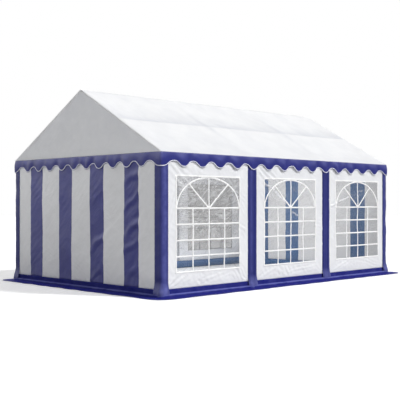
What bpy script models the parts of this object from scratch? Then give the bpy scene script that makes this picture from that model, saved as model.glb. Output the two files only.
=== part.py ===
"""A party tent of coated cloth on a frame of steel tube, with its origin on the ground at the middle.

The long sides face -Y (front) and +Y (back), and the gable ends face -X (left) and +X (right).
All lengths are in metres. Cloth pieces are numbered from the left, and so are the frame lines.
"""

import math

import bpy
import bmesh
from mathutils import Vector

# Driving dimensions of the whole tent, measured over its cloth.
LENGTH = 6.0
WIDTH = 3.9
EAVES = 2.14
RIDGE = 3.23
BAYS = 3

# Cloth: the walls hang inside the covers, and the covers hang inside the valance.
SHEET = 0.002
LAYER = 0.0005
SEAM = 0.0003

# Steel: the tubes, the sleeves and sockets that join them, and the plates under the feet.
TUBE = 0.019
SLEEVE = 0.0225
LEG_SOCKET = 0.0218
RAFTER_SOCKETS = {-1: 0.0211, 1: 0.0206}
SLEEVE_REACH = 0.12
SLEEVE_SETBACK = 0.003
PLATE_SIDE = 0.13
PLATE_THICK = 0.005
GROUND_TUBE_Z = 0.025
TUBE_SIDES = 16

# Walls, windows, covers and skirts.
WALL_TOP = 2.13
BAND_TOP = 0.12
WINDOW_WIDTH = 1.374
WINDOW_BOTTOM = 0.362
WINDOW_TOP = 1.782
POST_COVER_WIDTH = 0.215
CORNER_COVER_WIDTH = 0.14
FLAP_WIDTH = 0.234

# The wavy valance: how far it hangs at its highest and its lowest points.
WAVE_HIGH = 0.107
WAVE_LOW = 0.19
WAVES_A_BAY = 5
WAVES_ON_GABLE = 11
WAVE_STEPS = 8
WAVE_ROUNDNESS = 1.3

# Planes of the layers, each counted outwards from the tent's middle.
HALF_WIDTH = WIDTH / 2
HALF_LENGTH = LENGTH / 2
VALANCE_DEPTH = SHEET
COVER_DEPTH = VALANCE_DEPTH + LAYER + SHEET
WALL_DEPTH = COVER_DEPTH + LAYER + SHEET
FRAME_DEPTH = WALL_DEPTH + LAYER + SLEEVE
FRAME_Y = HALF_WIDTH - FRAME_DEPTH
FRAME_X_END = HALF_LENGTH - FRAME_DEPTH
BAY = LENGTH / BAYS

# The roof's slope, and the depth of each tube's axis below the outside of the cloth.
SLOPE = math.atan2(RIDGE - EAVES, HALF_WIDTH)
RAIL_DEPTH = SHEET + LAYER + SLEEVE
PURLIN_DEPTH = SHEET + LAYER + TUBE
RAFTER_DEPTH = PURLIN_DEPTH + 2 * TUBE + SEAM

FRONT, BACK = -1, 1
LEFT, RIGHT = -1, 1
SIDE_NAMES = {FRONT: "front", BACK: "back"}
END_NAMES = {LEFT: "left", RIGHT: "right"}


def clear_scene():
    """Remove whatever the file held before."""
    for obj in list(bpy.data.objects):
        bpy.data.objects.remove(obj, do_unlink=True)


def new_collection(name):
    collection = bpy.data.collections.new(name)
    bpy.context.scene.collection.children.link(collection)
    return collection


def new_material(name, color, roughness, metallic=0.0, alpha=1.0):
    """One plain Principled material."""
    material = bpy.data.materials.new(name)
    material.use_nodes = True
    shader = material.node_tree.nodes["Principled BSDF"]
    shader.inputs["Base Color"].default_value = (*color, 1.0)
    shader.inputs["Roughness"].default_value = roughness
    shader.inputs["Metallic"].default_value = metallic
    shader.inputs["Alpha"].default_value = alpha
    return material


def place(obj, collection, material):
    """Put an object in its collection with its own copy of a material."""
    collection.objects.link(obj)
    own = material.copy()
    own.name = f"{material.name}_{obj.name}"
    obj.data.materials.append(own)
    return obj


def under_roof(distance, depth):
    """The height of a line that runs under the roof's outside, at a distance from the middle."""
    top = EAVES + (HALF_WIDTH - distance) * math.tan(SLOPE)
    return top - depth / math.cos(SLOPE)


def frame_lines():
    """The x of each frame, the two end ones pulled in behind the cloth."""
    lines = [-HALF_LENGTH + i * BAY for i in range(BAYS + 1)]
    return [max(-FRAME_X_END, min(FRAME_X_END, x)) for x in lines]


def flat_piece(name, outlines, half_thickness, collection, material):
    """A flat outline, with its holes, filled and extruded both ways from its own plane."""
    curve = bpy.data.curves.new(name, "CURVE")
    curve.dimensions = "2D"
    curve.fill_mode = "BOTH"
    curve.extrude = half_thickness
    for outline in outlines:
        spline = curve.splines.new("POLY")
        spline.points.add(len(outline) - 1)
        for point, (u, v) in zip(spline.points, outline):
            point.co = (u, v, 0.0, 1.0)
        spline.use_cyclic_u = True
    return place(bpy.data.objects.new(name, curve), collection, material)


def stand_along_x(obj, y):
    """Stand a flat piece up so that its outline lies in X and Z."""
    obj.rotation_euler = (math.pi / 2, 0.0, 0.0)
    obj.location = (0.0, y, 0.0)


def stand_along_y(obj, x):
    """Stand a flat piece up so that its outline lies in Y and Z."""
    obj.rotation_euler = (math.pi / 2, 0.0, math.pi / 2)
    obj.location = (x, 0.0, 0.0)


def rectangle(left, bottom, right, top):
    return [(left, bottom), (right, bottom), (right, top), (left, top)]


def tube(name, start, end, collection, material):
    """A straight tube with closed ends."""
    curve = bpy.data.curves.new(name, "CURVE")
    curve.dimensions = "3D"
    curve.bevel_depth = TUBE
    curve.bevel_resolution = TUBE_SIDES // 2 - 2
    curve.use_fill_caps = True
    spline = curve.splines.new("POLY")
    spline.points.add(1)
    for point, place_at in zip(spline.points, (start, end)):
        point.co = (*place_at, 1.0)
    return place(bpy.data.objects.new(name, curve), collection, material)


def cylinder_mesh(name, start, end, radius):
    """A closed cylinder between two points."""
    start, end = Vector(start), Vector(end)
    along = end - start
    mesh = bpy.data.meshes.new(name)
    shape = bmesh.new()
    bmesh.ops.create_cone(
        shape,
        cap_ends=True,
        segments=TUBE_SIDES,
        radius1=radius,
        radius2=radius,
        depth=along.length,
    )
    bmesh.ops.rotate(shape, verts=shape.verts, matrix=along.to_track_quat("Z", "Y").to_matrix())
    bmesh.ops.translate(shape, verts=shape.verts, vec=(start + end) / 2)
    shape.to_mesh(mesh)
    shape.free()
    return mesh


def box_mesh(name, low, high):
    """A closed box between two corners."""
    low, high = Vector(low), Vector(high)
    mesh = bpy.data.meshes.new(name)
    shape = bmesh.new()
    bmesh.ops.create_cube(shape, size=1.0)
    bmesh.ops.scale(shape, verts=shape.verts, vec=high - low)
    bmesh.ops.translate(shape, verts=shape.verts, vec=(low + high) / 2)
    shape.to_mesh(mesh)
    shape.free()
    return mesh


def jointed_rail(name, rail_mesh, joint_meshes, collection, cutters, material):
    """A rail with its sleeves and plates welded on, as one solid."""
    rail = place(bpy.data.objects.new(name, rail_mesh), collection, material)
    joints = bpy.data.collections.new(f"{name}_joints")
    cutters.children.link(joints)
    for mesh in joint_meshes:
        joint = bpy.data.objects.new(mesh.name, mesh)
        joint.hide_render = True
        joint.display_type = "WIRE"
        joints.objects.link(joint)
    weld = rail.modifiers.new("weld_joints", "BOOLEAN")
    weld.operation = "UNION"
    weld.operand_type = "COLLECTION"
    weld.collection = joints
    weld.solver = "EXACT"
    return rail


def sleeve_span(x):
    """How far a sleeve on a rail along X reaches to each side of a frame line."""
    limit = FRAME_X_END + SLEEVE - SLEEVE_SETBACK
    half = SLEEVE_REACH / 2
    return max(-limit, x - half), min(limit, x + half)


def slope_point(side, distance, along):
    """A point on a rafter's axis, starting at a distance from the middle and going up the slope."""
    y = distance - along * math.cos(SLOPE)
    z = under_roof(distance, RAFTER_DEPTH) + along * math.sin(SLOPE)
    return side * y, z


def eaves_joint(x, side, height):
    """The sleeves of one knee: round the rail, down to the leg and up to the rafter."""
    low, high = sleeve_span(x)
    y = side * FRAME_Y
    rafter_y, rafter_z = slope_point(side, FRAME_Y, SLEEVE_REACH)
    knee_z = under_roof(FRAME_Y, RAFTER_DEPTH)
    return [
        cylinder_mesh("rail_sleeve", (low, y, height), (high, y, height), SLEEVE),
        cylinder_mesh("leg_socket", (x, y, height), (x, y, height - SLEEVE_REACH), LEG_SOCKET),
        cylinder_mesh("rafter_socket", (x, y, knee_z), (x, rafter_y, rafter_z), RAFTER_SOCKETS[side]),
    ]


def ridge_joint(x, height):
    """The sleeves of one ridge fitting: round the rail and down to both rafters."""
    low, high = sleeve_span(x)
    apex = under_roof(0.0, RAFTER_DEPTH)
    meshes = [
        cylinder_mesh("rail_sleeve", (low, 0, height), (high, 0, height), SLEEVE),
        cylinder_mesh("saddle", (x, 0, height), (x, 0, apex), LEG_SOCKET),
    ]
    for side in (FRONT, BACK):
        y, z = slope_point(side, 0.0, -SLEEVE_REACH)
        meshes.append(cylinder_mesh("rafter_socket", (x, 0, apex), (x, y, z), RAFTER_SOCKETS[side]))
    return meshes


def ground_joint(x, side):
    """One foot: a plate on the ground, a sleeve round the rail and a socket for the leg."""
    low, high = sleeve_span(x)
    y = side * FRAME_Y
    limit = FRAME_X_END + SLEEVE
    middle = max(-limit + PLATE_SIDE / 2, min(limit - PLATE_SIDE / 2, x))
    near, far = sorted((side * (FRAME_Y + SLEEVE), side * (FRAME_Y + SLEEVE - PLATE_SIDE)))
    plate_low = (middle - PLATE_SIDE / 2, near, 0.0)
    plate_high = (middle + PLATE_SIDE / 2, far, PLATE_THICK)
    ground = (x, y, GROUND_TUBE_Z)
    socket_top = (x, y, GROUND_TUBE_Z + SLEEVE_REACH)
    return [
        box_mesh("foot_plate", plate_low, plate_high),
        cylinder_mesh("rail_sleeve", (low, y, GROUND_TUBE_Z), (high, y, GROUND_TUBE_Z), SLEEVE),
        cylinder_mesh("leg_socket", ground, socket_top, LEG_SOCKET),
    ]


def make_rails(parts, cutters, steel):
    """The tubes that run the whole length: ground, eaves and ridge, with their fittings."""
    reach = FRAME_X_END + SLEEVE
    lines = frame_lines()
    eaves_z = under_roof(FRAME_Y, RAIL_DEPTH)
    ridge_z = under_roof(0.0, RAIL_DEPTH)
    for side, word in SIDE_NAMES.items():
        y = side * FRAME_Y
        rail = cylinder_mesh("eaves_rail", (-reach, y, eaves_z), (reach, y, eaves_z), TUBE)
        joints = [mesh for x in lines for mesh in eaves_joint(x, side, eaves_z)]
        jointed_rail(f"eaves_rail_{word}", rail, joints, parts, cutters, steel)
        low, high = (-reach, y, GROUND_TUBE_Z), (reach, y, GROUND_TUBE_Z)
        rail = cylinder_mesh("ground_rail", low, high, TUBE)
        joints = [mesh for x in lines for mesh in ground_joint(x, side)]
        jointed_rail(f"ground_rail_{word}", rail, joints, parts, cutters, steel)
    rail = cylinder_mesh("ridge_rail", (-reach, 0, ridge_z), (reach, 0, ridge_z), TUBE)
    joints = [mesh for x in lines for mesh in ridge_joint(x, ridge_z)]
    jointed_rail("ridge_rail", rail, joints, parts, cutters, steel)


def make_tubes(parts, steel):
    """Legs and rafters between the fittings, purlins on the rafters, ground tubes at the ends."""
    eaves_z = under_roof(FRAME_Y, RAIL_DEPTH)
    leg_low = GROUND_TUBE_Z + SLEEVE_REACH + SEAM
    leg_high = eaves_z - SLEEVE_REACH - SEAM
    for side, word in SIDE_NAMES.items():
        y = side * FRAME_Y
        low = slope_point(side, FRAME_Y, SLEEVE_REACH + SEAM)
        high = slope_point(side, 0.0, -SLEEVE_REACH - SEAM)
        for number, x in enumerate(frame_lines(), start=1):
            tube(f"leg_{word}_{number}", (x, y, leg_low), (x, y, leg_high), parts, steel)
            tube(f"rafter_{word}_{number}", (x, *low), (x, *high), parts, steel)
        purlin_y = side * HALF_WIDTH / 2
        purlin_z = under_roof(HALF_WIDTH / 2, PURLIN_DEPTH)
        reach = FRAME_X_END + SLEEVE
        start, end = (-reach, purlin_y, purlin_z), (reach, purlin_y, purlin_z)
        tube(f"purlin_{word}", start, end, parts, steel)
    reach = FRAME_Y - SLEEVE - SEAM
    for end, word in END_NAMES.items():
        x = end * FRAME_X_END
        low, high = (x, -reach, GROUND_TUBE_Z), (x, reach, GROUND_TUBE_Z)
        tube(f"ground_rail_{word}", low, high, parts, steel)


def make_roof(parts, white):
    """The two slopes of the roof cover and the two triangles that close its ends."""
    for side, word in SIDE_NAMES.items():
        eave, ridge = side * HALF_WIDTH, side * SEAM / 2
        section = [
            (eave, under_roof(HALF_WIDTH, 0.0)),
            (ridge, under_roof(SEAM / 2, 0.0)),
            (ridge, under_roof(SEAM / 2, SHEET)),
            (eave, under_roof(HALF_WIDTH, SHEET)),
        ]
        slope = flat_piece(f"roof_{word}", [section], HALF_LENGTH, parts, white)
        stand_along_y(slope, 0.0)
    foot = EAVES - SHEET
    top = under_roof(0.0, SHEET + LAYER)
    half = (top - foot) / math.tan(SLOPE)
    for end, word in END_NAMES.items():
        outline = [(-half, foot), (half, foot), (0.0, top)]
        gable = flat_piece(f"gable_{word}", [outline], SHEET / 2, parts, white)
        stand_along_y(gable, end * (HALF_LENGTH - SHEET / 2))


def wave_depth(turn):
    """How far the valance hangs at a place counted in waves, lowest at whole numbers."""
    lift = ((1 - math.cos(2 * math.pi * turn)) / 2) ** WAVE_ROUNDNESS
    return WAVE_LOW + (WAVE_HIGH - WAVE_LOW) * lift


def valance_outline(half, waves):
    """A strip with a straight top and a wavy foot."""
    steps = waves * WAVE_STEPS
    top = under_roof(HALF_WIDTH, SHEET + LAYER)
    foot = [
        (half - 2 * half * i / steps, EAVES - wave_depth(waves * i / steps)) for i in range(steps + 1)
    ]
    return [(-half, top), (half, top), *foot]


def make_valances(parts, blue):
    """The four wavy strips that hang from the edge of the roof."""
    for side, word in SIDE_NAMES.items():
        outline = valance_outline(HALF_LENGTH, WAVES_A_BAY * BAYS)
        strip = flat_piece(f"valance_{word}", [outline], SHEET / 2, parts, blue)
        stand_along_x(strip, side * (HALF_WIDTH - SHEET / 2))
    inner = HALF_WIDTH - VALANCE_DEPTH - LAYER
    for end, word in END_NAMES.items():
        strip = flat_piece(
            f"valance_{word}", [valance_outline(inner, WAVES_ON_GABLE)], SHEET / 2, parts, blue
        )
        stand_along_y(strip, end * (HALF_LENGTH - SHEET / 2))


def make_window_walls(parts, white, clear):
    """One panel a bay along each side, each with a clear window set into it."""
    wall_end = HALF_LENGTH - WALL_DEPTH + SHEET
    half = WINDOW_WIDTH / 2
    for side, word in SIDE_NAMES.items():
        y = side * (HALF_WIDTH - WALL_DEPTH + SHEET / 2)
        for number in range(1, BAYS + 1):
            low = -HALF_LENGTH + (number - 1) * BAY
            left, right = max(-wall_end, low + SEAM / 2), min(wall_end, low + BAY - SEAM / 2)
            middle = low + BAY / 2
            panel = rectangle(left, BAND_TOP + SEAM, right, WALL_TOP)
            hole = rectangle(middle - half, WINDOW_BOTTOM, middle + half, WINDOW_TOP)
            wall = flat_piece(f"wall_{word}_{number}", [panel, hole], SHEET / 2, parts, white)
            stand_along_x(wall, y)
            film = rectangle(
                middle - half + SEAM, WINDOW_BOTTOM + SEAM, middle + half - SEAM, WINDOW_TOP - SEAM
            )
            window = flat_piece(f"window_{word}_{number}", [film], SHEET / 2, parts, clear)
            stand_along_x(window, y)


def make_end_walls(parts, white):
    """The striped walls under the gables, each one piece."""
    half = HALF_WIDTH - WALL_DEPTH - LAYER
    for end, word in END_NAMES.items():
        outline = rectangle(-half, BAND_TOP + SEAM, half, WALL_TOP)
        wall = flat_piece(f"end_wall_{word}", [outline], SHEET / 2, parts, white)
        stand_along_y(wall, end * (HALF_LENGTH - WALL_DEPTH + SHEET / 2))


def make_covers(parts, blue):
    """The strips over the inner legs, and the folded strips round the four corners."""
    low, high = SHEET + LAYER, WALL_TOP
    half = POST_COVER_WIDTH / 2
    for side, word in SIDE_NAMES.items():
        for number in range(1, BAYS):
            x = -HALF_LENGTH + number * BAY
            outline = rectangle(x - half, low, x + half, high)
            strip = flat_piece(f"post_cover_{word}_{number}", [outline], SHEET / 2, parts, blue)
            stand_along_x(strip, side * (HALF_WIDTH - COVER_DEPTH + SHEET / 2))
    for side, side_word in SIDE_NAMES.items():
        for end, end_word in END_NAMES.items():
            out_x = end * (HALF_LENGTH - COVER_DEPTH + SHEET)
            out_y = side * (HALF_WIDTH - COVER_DEPTH + SHEET)
            in_x, in_y = out_x - end * SHEET, out_y - side * SHEET
            tip_x, tip_y = out_x - end * CORNER_COVER_WIDTH, out_y - side * CORNER_COVER_WIDTH
            outline = [
                (out_x, out_y), (tip_x, out_y), (tip_x, in_y), (in_x, in_y), (in_x, tip_y), (out_x, tip_y)
            ]
            name = f"corner_cover_{side_word}_{end_word}"
            cover = flat_piece(name, [outline], (high - low) / 2, parts, blue)
            cover.location = (0.0, 0.0, (low + high) / 2)


def skirt_section(outward, wall_out):
    """The outline of a skirt: a band up the wall and a flap out over the ground."""
    inner, outer = wall_out - SHEET, wall_out
    tip = wall_out + WALL_DEPTH - SHEET + FLAP_WIDTH
    outline = [(inner, 0.0), (tip, 0.0), (tip, SHEET), (outer, SHEET), (outer, BAND_TOP), (inner, BAND_TOP)]
    return [(outward * u, v) for u, v in outline]


def make_skirts(parts, blue):
    """The four skirts at the foot of the walls."""
    long_out = HALF_WIDTH - WALL_DEPTH + SHEET
    end_out = HALF_LENGTH - WALL_DEPTH + SHEET
    for side, word in SIDE_NAMES.items():
        skirt = flat_piece(f"skirt_{word}", [skirt_section(side, long_out)], end_out, parts, blue)
        stand_along_y(skirt, 0.0)
    half = HALF_WIDTH - WALL_DEPTH - LAYER
    for end, word in END_NAMES.items():
        skirt = flat_piece(f"skirt_{word}", [skirt_section(end, end_out)], half, parts, blue)
        stand_along_x(skirt, 0.0)


def main():
    clear_scene()
    parts = new_collection("party_tent")
    cutters = new_collection("cutters")
    cutters.hide_render = True
    steel = new_material("galvanised_steel", (0.55, 0.57, 0.58), 0.38, metallic=1.0)
    white = new_material("white_cloth", (0.86, 0.86, 0.87), 0.45)
    blue = new_material("blue_cloth", (0.030, 0.035, 0.215), 0.42)
    clear = new_material("clear_film", (0.80, 0.83, 0.85), 0.12, alpha=0.3)
    make_rails(parts, cutters, steel)
    make_tubes(parts, steel)
    make_roof(parts, white)
    make_valances(parts, blue)
    make_window_walls(parts, white, clear)
    make_end_walls(parts, white)
    make_covers(parts, blue)
    make_skirts(parts, blue)


main()
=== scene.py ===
# %% [markdown]
# # Dressing a party tent
#
# The steel frame of this tent comes ready made, as a fixed model in metres with its origin on the ground.
# This file hangs the cloth on it: a white roof cover, walls with clear windows, striped end walls, blue
# covers over the legs, a wavy valance and a skirt at the foot. Each cell makes one kind of piece.

import math

import bpy
import numpy as np
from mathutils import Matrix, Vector


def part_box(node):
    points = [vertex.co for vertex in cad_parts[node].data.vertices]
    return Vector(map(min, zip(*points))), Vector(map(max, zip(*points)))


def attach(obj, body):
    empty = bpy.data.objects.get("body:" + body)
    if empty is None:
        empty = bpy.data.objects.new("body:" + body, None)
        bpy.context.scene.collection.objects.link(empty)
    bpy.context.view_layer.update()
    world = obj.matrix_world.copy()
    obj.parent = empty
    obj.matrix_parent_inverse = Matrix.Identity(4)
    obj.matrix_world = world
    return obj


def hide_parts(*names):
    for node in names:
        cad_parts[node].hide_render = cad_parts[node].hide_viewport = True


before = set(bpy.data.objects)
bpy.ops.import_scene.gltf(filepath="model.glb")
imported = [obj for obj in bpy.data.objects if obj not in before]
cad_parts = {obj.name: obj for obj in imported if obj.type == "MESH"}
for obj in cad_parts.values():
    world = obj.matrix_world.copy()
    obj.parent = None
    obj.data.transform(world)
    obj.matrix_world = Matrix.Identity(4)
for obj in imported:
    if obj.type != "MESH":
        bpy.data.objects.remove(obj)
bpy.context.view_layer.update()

# %% [markdown]
# ## Measures
#
# A sewn cover is cut from measures taken on the frame, so nothing here is typed in twice. The boxes of the
# plain solids give the planes that the layers hang in and the slope of the roof. FRONT faces -Y, which is
# the long side that the camera sees, and LEFT faces -X, the striped end that it sees.

# %% Read the measures
FRONT, BACK = -1, 1
LEFT, RIGHT = -1, 1
SIDES = {FRONT: "front", BACK: "back"}
ENDS = {LEFT: "left", RIGHT: "right"}


def reach(node, axis):
    """How far a node's box reaches along an axis, and the middle of that reach."""
    low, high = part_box(node)
    return max(abs(low[axis]), abs(high[axis])), abs(low[axis] + high[axis]) / 2


HALF_LENGTH = reach("roof_front", 0)[0]
HALF_WIDTH = reach("roof_front", 1)[0]
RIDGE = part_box("roof_front")[1].z
GABLE_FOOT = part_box("gable_left")[0].z
SLOPE_TAN = (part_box("gable_left")[1].z - GABLE_FOOT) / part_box("gable_left")[1].y
SLOPE = math.atan(SLOPE_TAN)
EAVES = RIDGE - HALF_WIDTH * SLOPE_TAN
WALL_Y = reach("wall_front_1", 1)[1]
WALL_X = reach("end_wall_left", 0)[1]
COVER_Y = reach("post_cover_front_1", 1)[1]
COVER_X = COVER_Y + HALF_LENGTH - HALF_WIDTH
VALANCE_Y = reach("valance_front", 1)[1]
VALANCE_X = reach("valance_left", 0)[1]
VALANCE_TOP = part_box("valance_front")[1].z
WALL_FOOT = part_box("wall_front_1")[0].z
WALL_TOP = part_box("wall_front_1")[1].z
FLAP_TIP_Y = reach("skirt_front", 1)[0]
AROUND = (*SIDES.values(), *ENDS.values())
BAYS = sum(name.startswith("wall_front_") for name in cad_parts)
BAY = 2 * HALF_LENGTH / BAYS
print(f"eaves {EAVES:.3f}, ridge {RIDGE:.3f}, slope {math.degrees(SLOPE):.1f} degrees, {BAYS} bays")

# %% [markdown]
# ## Camera
#
# The picture that this tent follows was taken by somebody standing off one corner with a long lens. Its
# straight edges give the place of the camera, so here the camera is set first and stays put.

# %% Camera
CAMERA_PLACE = (-10.82, -10.61, 1.393)
CAMERA_YAW = math.radians(44.86)
CAMERA_PITCH = math.radians(0.18)
CAMERA_LENS = 72.3
CAMERA_SENSOR = 36.0
CAMERA_REACH = 200.0


def add_object(name, data):
    """A new object in the scene."""
    obj = bpy.data.objects.new(name, data)
    bpy.context.scene.collection.objects.link(obj)
    return obj


camera = add_object("camera", bpy.data.cameras.new("camera"))
camera.data.lens = CAMERA_LENS
camera.data.sensor_width = CAMERA_SENSOR
camera.data.clip_end = CAMERA_REACH
camera.location = CAMERA_PLACE
camera.rotation_euler = (math.pi / 2 + CAMERA_PITCH, 0.0, -CAMERA_YAW)
bpy.context.scene.camera = camera
print("camera at", CAMERA_PLACE)

# %% [markdown]
# ## Grids into meshes
#
# Cloth is a surface with two directions, so every sheet here is a grid of points: one numpy array with
# rows, columns and three coordinates. The helper turns the array into quads in one go, drops the quads
# that a mask leaves out, such as those of a window, and stores the flat cut as a UV map in metres.

# %% Grids of points
def grid(rows, columns):
    """The row value and the column value at each point of a grid."""
    return np.meshgrid(rows, columns, indexing="ij")


def stacked(*parts):
    """Arrays of coordinates as one array of points."""
    return np.stack(parts, axis=-1)


def stops(*places, cell):
    """Places along an edge, about a cell apart, that pass through each of the given ones."""
    runs = [
        np.linspace(a, b, max(1, round((b - a) / cell)) + 1)[:-1] for a, b in zip(places, places[1:])
    ]
    return np.concatenate([*runs, places[-1:]])


def lengths_along(path):
    """How far along a path each of its points lies."""
    return np.concatenate([[0], np.cumsum(np.linalg.norm(np.diff(path, axis=0), axis=1))])


def grid_quads(rows, columns, turned=False, round_rows=False, round_columns=False):
    """The corner numbers of each quad of a grid, closed on itself where it goes round."""
    index = np.arange(rows * columns).reshape(rows, columns)
    if round_rows:
        index = np.vstack([index, index[:1]])
    if round_columns:
        index = np.hstack([index, index[:, :1]])
    quads = stacked(index[:-1, :-1], index[1:, :-1], index[1:, 1:], index[:-1, 1:])
    return quads[..., ::-1] if turned else quads


# %% Meshes and pieces
def quad_mesh(name, points, quads, flat=None, marks=None):
    """A mesh from arrays of points and quads, with points that no quad uses left out.

    flat is its cut in metres, and marks names values that a material reads at each point.
    """
    used, quads = np.unique(quads, return_inverse=True)
    quads = quads.reshape(-1, 4).astype(np.int32)
    points = points.reshape(-1, 3)[used].astype(np.float32)
    mesh = bpy.data.meshes.new(name)
    mesh.vertices.add(len(points))
    mesh.vertices.foreach_set("co", points.ravel())
    mesh.loops.add(quads.size)
    mesh.loops.foreach_set("vertex_index", quads.ravel())
    mesh.polygons.add(len(quads))
    mesh.polygons.foreach_set("loop_start", np.arange(0, quads.size, 4, dtype=np.int32))
    mesh.polygons.foreach_set("use_smooth", np.ones(len(quads), bool))
    if flat is not None:
        layer = mesh.uv_layers.new(name="cut")
        layer.data.foreach_set("uv", flat.reshape(-1, 2)[used][quads.ravel()].astype(np.float32).ravel())
    for label, values in (marks or {}).items():
        stored = mesh.attributes.new(label, "FLOAT", "POINT")
        stored.data.foreach_set("value", values.reshape(-1)[used].astype(np.float32))
    mesh.update()
    mesh.validate()
    return mesh


def sheet_mesh(name, points, flat=None, keep=None, turned=False, marks=None, ring=False):
    """A grid of points as a smooth sheet: keep is a mask of the quads that stay, a ring is closed."""
    quads = grid_quads(*points.shape[:2], turned, round_rows=ring)
    quads = quads.reshape(-1, 4) if keep is None else quads[keep]
    return quad_mesh(name, points, quads, flat, marks)


def join_grids(name, open_grids, rings=(), turned=False):
    """Several grids of points as one mesh, some of them rings that close on themselves."""
    points, quads, count = [], [], 0
    for surface, ring in [(made, False) for made in open_grids] + [(made, True) for made in rings]:
        points.append(surface.reshape(-1, 3))
        corners = grid_quads(*surface.shape[:2], turned != ring, round_rows=ring)
        quads.append(corners.reshape(-1, 4) + count)
        count += len(points[-1])
    return quad_mesh(name, np.concatenate(points), np.concatenate(quads))


def add_piece(mesh, material, body="root"):
    """Put a mesh in the scene as a piece of the tent."""
    obj = add_object(mesh.name, mesh)
    mesh.materials.append(material)
    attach(obj, body)
    return obj


def hang(mesh, material, slot, thickness, *solids, lining=None):
    """Add a sheet with its thickness, half to each side, in place of the plain solids it stands for."""
    obj = add_piece(mesh, material)
    thicken = obj.modifiers.new("thickness", "SOLIDIFY")
    thicken.thickness = thickness
    thicken.offset = 0.0
    if lining:
        obj.data.materials.append(lining)
        thicken.material_offset = 1
    if solids:
        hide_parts(*solids)
    return obj


# %% [markdown]
# ## How coated cloth creases
#
# The cloth is a polyester net between two skins of soft plastic. It hardly stretches, so slack shows as
# long shallow waves, pull shows as folds that fan out from a corner, and having been packed in a bag leaves
# a net of fine creases. Each of these is a formula over the two coordinates of the sheet, and a sheet adds
# up the ones it needs. A cloth simulation would find similar shapes, but slower and with less control.

# %% Relief formulas
def smooth_step(value):
    """0 below 0, 1 above 1, and 3v^2 - 2v^3 in between."""
    value = np.clip(value, 0.0, 1.0)
    return value * value * (3.0 - 2.0 * value)


def slack(u, v, seed, lengths, heading=0.0, spread=math.pi, count=18):
    """The sum of plane waves of random length and heading, scaled so that its usual height is 1."""
    rng = np.random.default_rng(seed)
    total = np.zeros(np.broadcast(u, v).shape)
    for _ in range(count):
        turn = heading + spread * rng.uniform(-1, 1)
        number = math.tau / rng.uniform(*lengths)
        phase = rng.uniform(0, math.tau)
        total += np.sin(number * (u * math.cos(turn) + v * math.sin(turn)) + phase)
    return total / math.sqrt(count / 2)


def crinkles(u, v, seed, lengths, heading=0.0, spread=math.pi):
    """A net of creases: sharp ridges where a slack surface crosses its own mean height, from 0 to 1."""
    return 1.0 - np.abs(np.tanh(1.6 * slack(u, v, seed, lengths, heading, spread)))


def fan_folds(u, v, corner, headings, width, length):
    """Folds along rays from a corner. Each is a bell across its ray that widens and fades along it."""
    du, dv = u - corner[0], v - corner[1]
    total = np.zeros(np.broadcast(u, v).shape)
    for number, heading in enumerate(headings):
        along = du * math.cos(heading) + dv * math.sin(heading)
        across = dv * math.cos(heading) - du * math.sin(heading)
        wide = width * (0.35 + np.clip(along, 0, None) / length)
        ray = np.exp(-((across / wide) ** 2)) * smooth_step(along / 0.10)
        total += (-1) ** number * ray * np.exp(-((along / length) ** 2))
    return total


def gathers(u, v, creases):
    """Creases side by side: each is a wave across its lines that fades away from its middle.

    A crease is its place, the heading of its lines in degrees, the step from line to line, its reach
    across and along the lines, and the steepness of its sides.
    """
    total = np.zeros(np.broadcast(u, v).shape)
    for (place_u, place_v), degrees, step, reach_across, reach_along, steep in creases:
        heading = math.radians(degrees)
        along = (u - place_u) * math.cos(heading) + (v - place_v) * math.sin(heading)
        across = (v - place_v) * math.cos(heading) - (u - place_u) * math.sin(heading)
        bent = across + 0.12 * step * np.sin(5 * along / reach_along) + 0.05 * along**2 / reach_along
        fade = np.exp(-((across / reach_across) ** 2) - (along / reach_along) ** 2)
        total += steep * step / (math.tau) * np.cos(math.tau * bent / step) * fade
    return total


def free_share(out, z, held, rise, foot, top):
    """How free a wall is: 0 where it is held at a side, foot or top, and 1 past the given lengths."""
    aside = smooth_step((out - held) / rise)
    return aside * smooth_step((z - WALL_FOOT) / foot) * smooth_step((WALL_TOP - z) / top)


# %% [markdown]
# ## Shared surface effects
#
# An effect that turns up in more than one material is a node group, built once and placed in each material
# with its own values. There are six: the surface of coated cloth, the patches of painted shade, painted
# sheen and scuffs, the dust that rain splashes up at its foot, the stripes of the end walls, the arcs of
# crushed film and the ribs of tape. They read Object coordinates in metres, so a wrinkle has the same size
# everywhere. An output of a node is kept as a wire here, so that a sum of effects can be written as a sum.

# %% Node helpers
class Wire:
    """An output of a node. A sum, difference or product of wires makes Math nodes."""

    def __init__(self, socket):
        self.socket = socket
        self.tree = socket.id_data

    def math(self, operation, other=0.0):
        return node("ShaderNodeMath", {0: self, 1: other}, operation=operation)[0]

    def __add__(self, other):
        return self.math("ADD", other)

    def __sub__(self, other):
        return self.math("SUBTRACT", other)

    def __mul__(self, other):
        return self.math("MULTIPLY", other)

    def __abs__(self):
        return self.math("ABSOLUTE")


def node(kind, links=None, tree=None, **settings):
    """The outputs of a new node, by number and by name.

    links maps an input to a value or a wire, settings are properties, and tree is only needed without wires.
    """
    links = links or {}
    tree = tree or next(source.tree for source in links.values() if isinstance(source, Wire))
    made = tree.nodes.new(kind)
    for key, value in settings.items():
        setattr(made, key, value)
    for socket, source in links.items():
        if isinstance(source, Wire):
            tree.links.new(source.socket, made.inputs[socket])
        else:
            made.inputs[socket].default_value = source
    wires = [Wire(output) for output in made.outputs]
    return {**dict(enumerate(wires)), **{wire.socket.name: wire for wire in wires}}


def split_xyz(place):
    """The X, Y and Z of a place."""
    parts = node("ShaderNodeSeparateXYZ", {0: place})
    return parts[0], parts[1], parts[2]


def flat_place(along, up):
    """A place in a plane, from how far along and how far up it lies."""
    return node("ShaderNodeCombineXYZ", {0: along, 1: up})[0]


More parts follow.
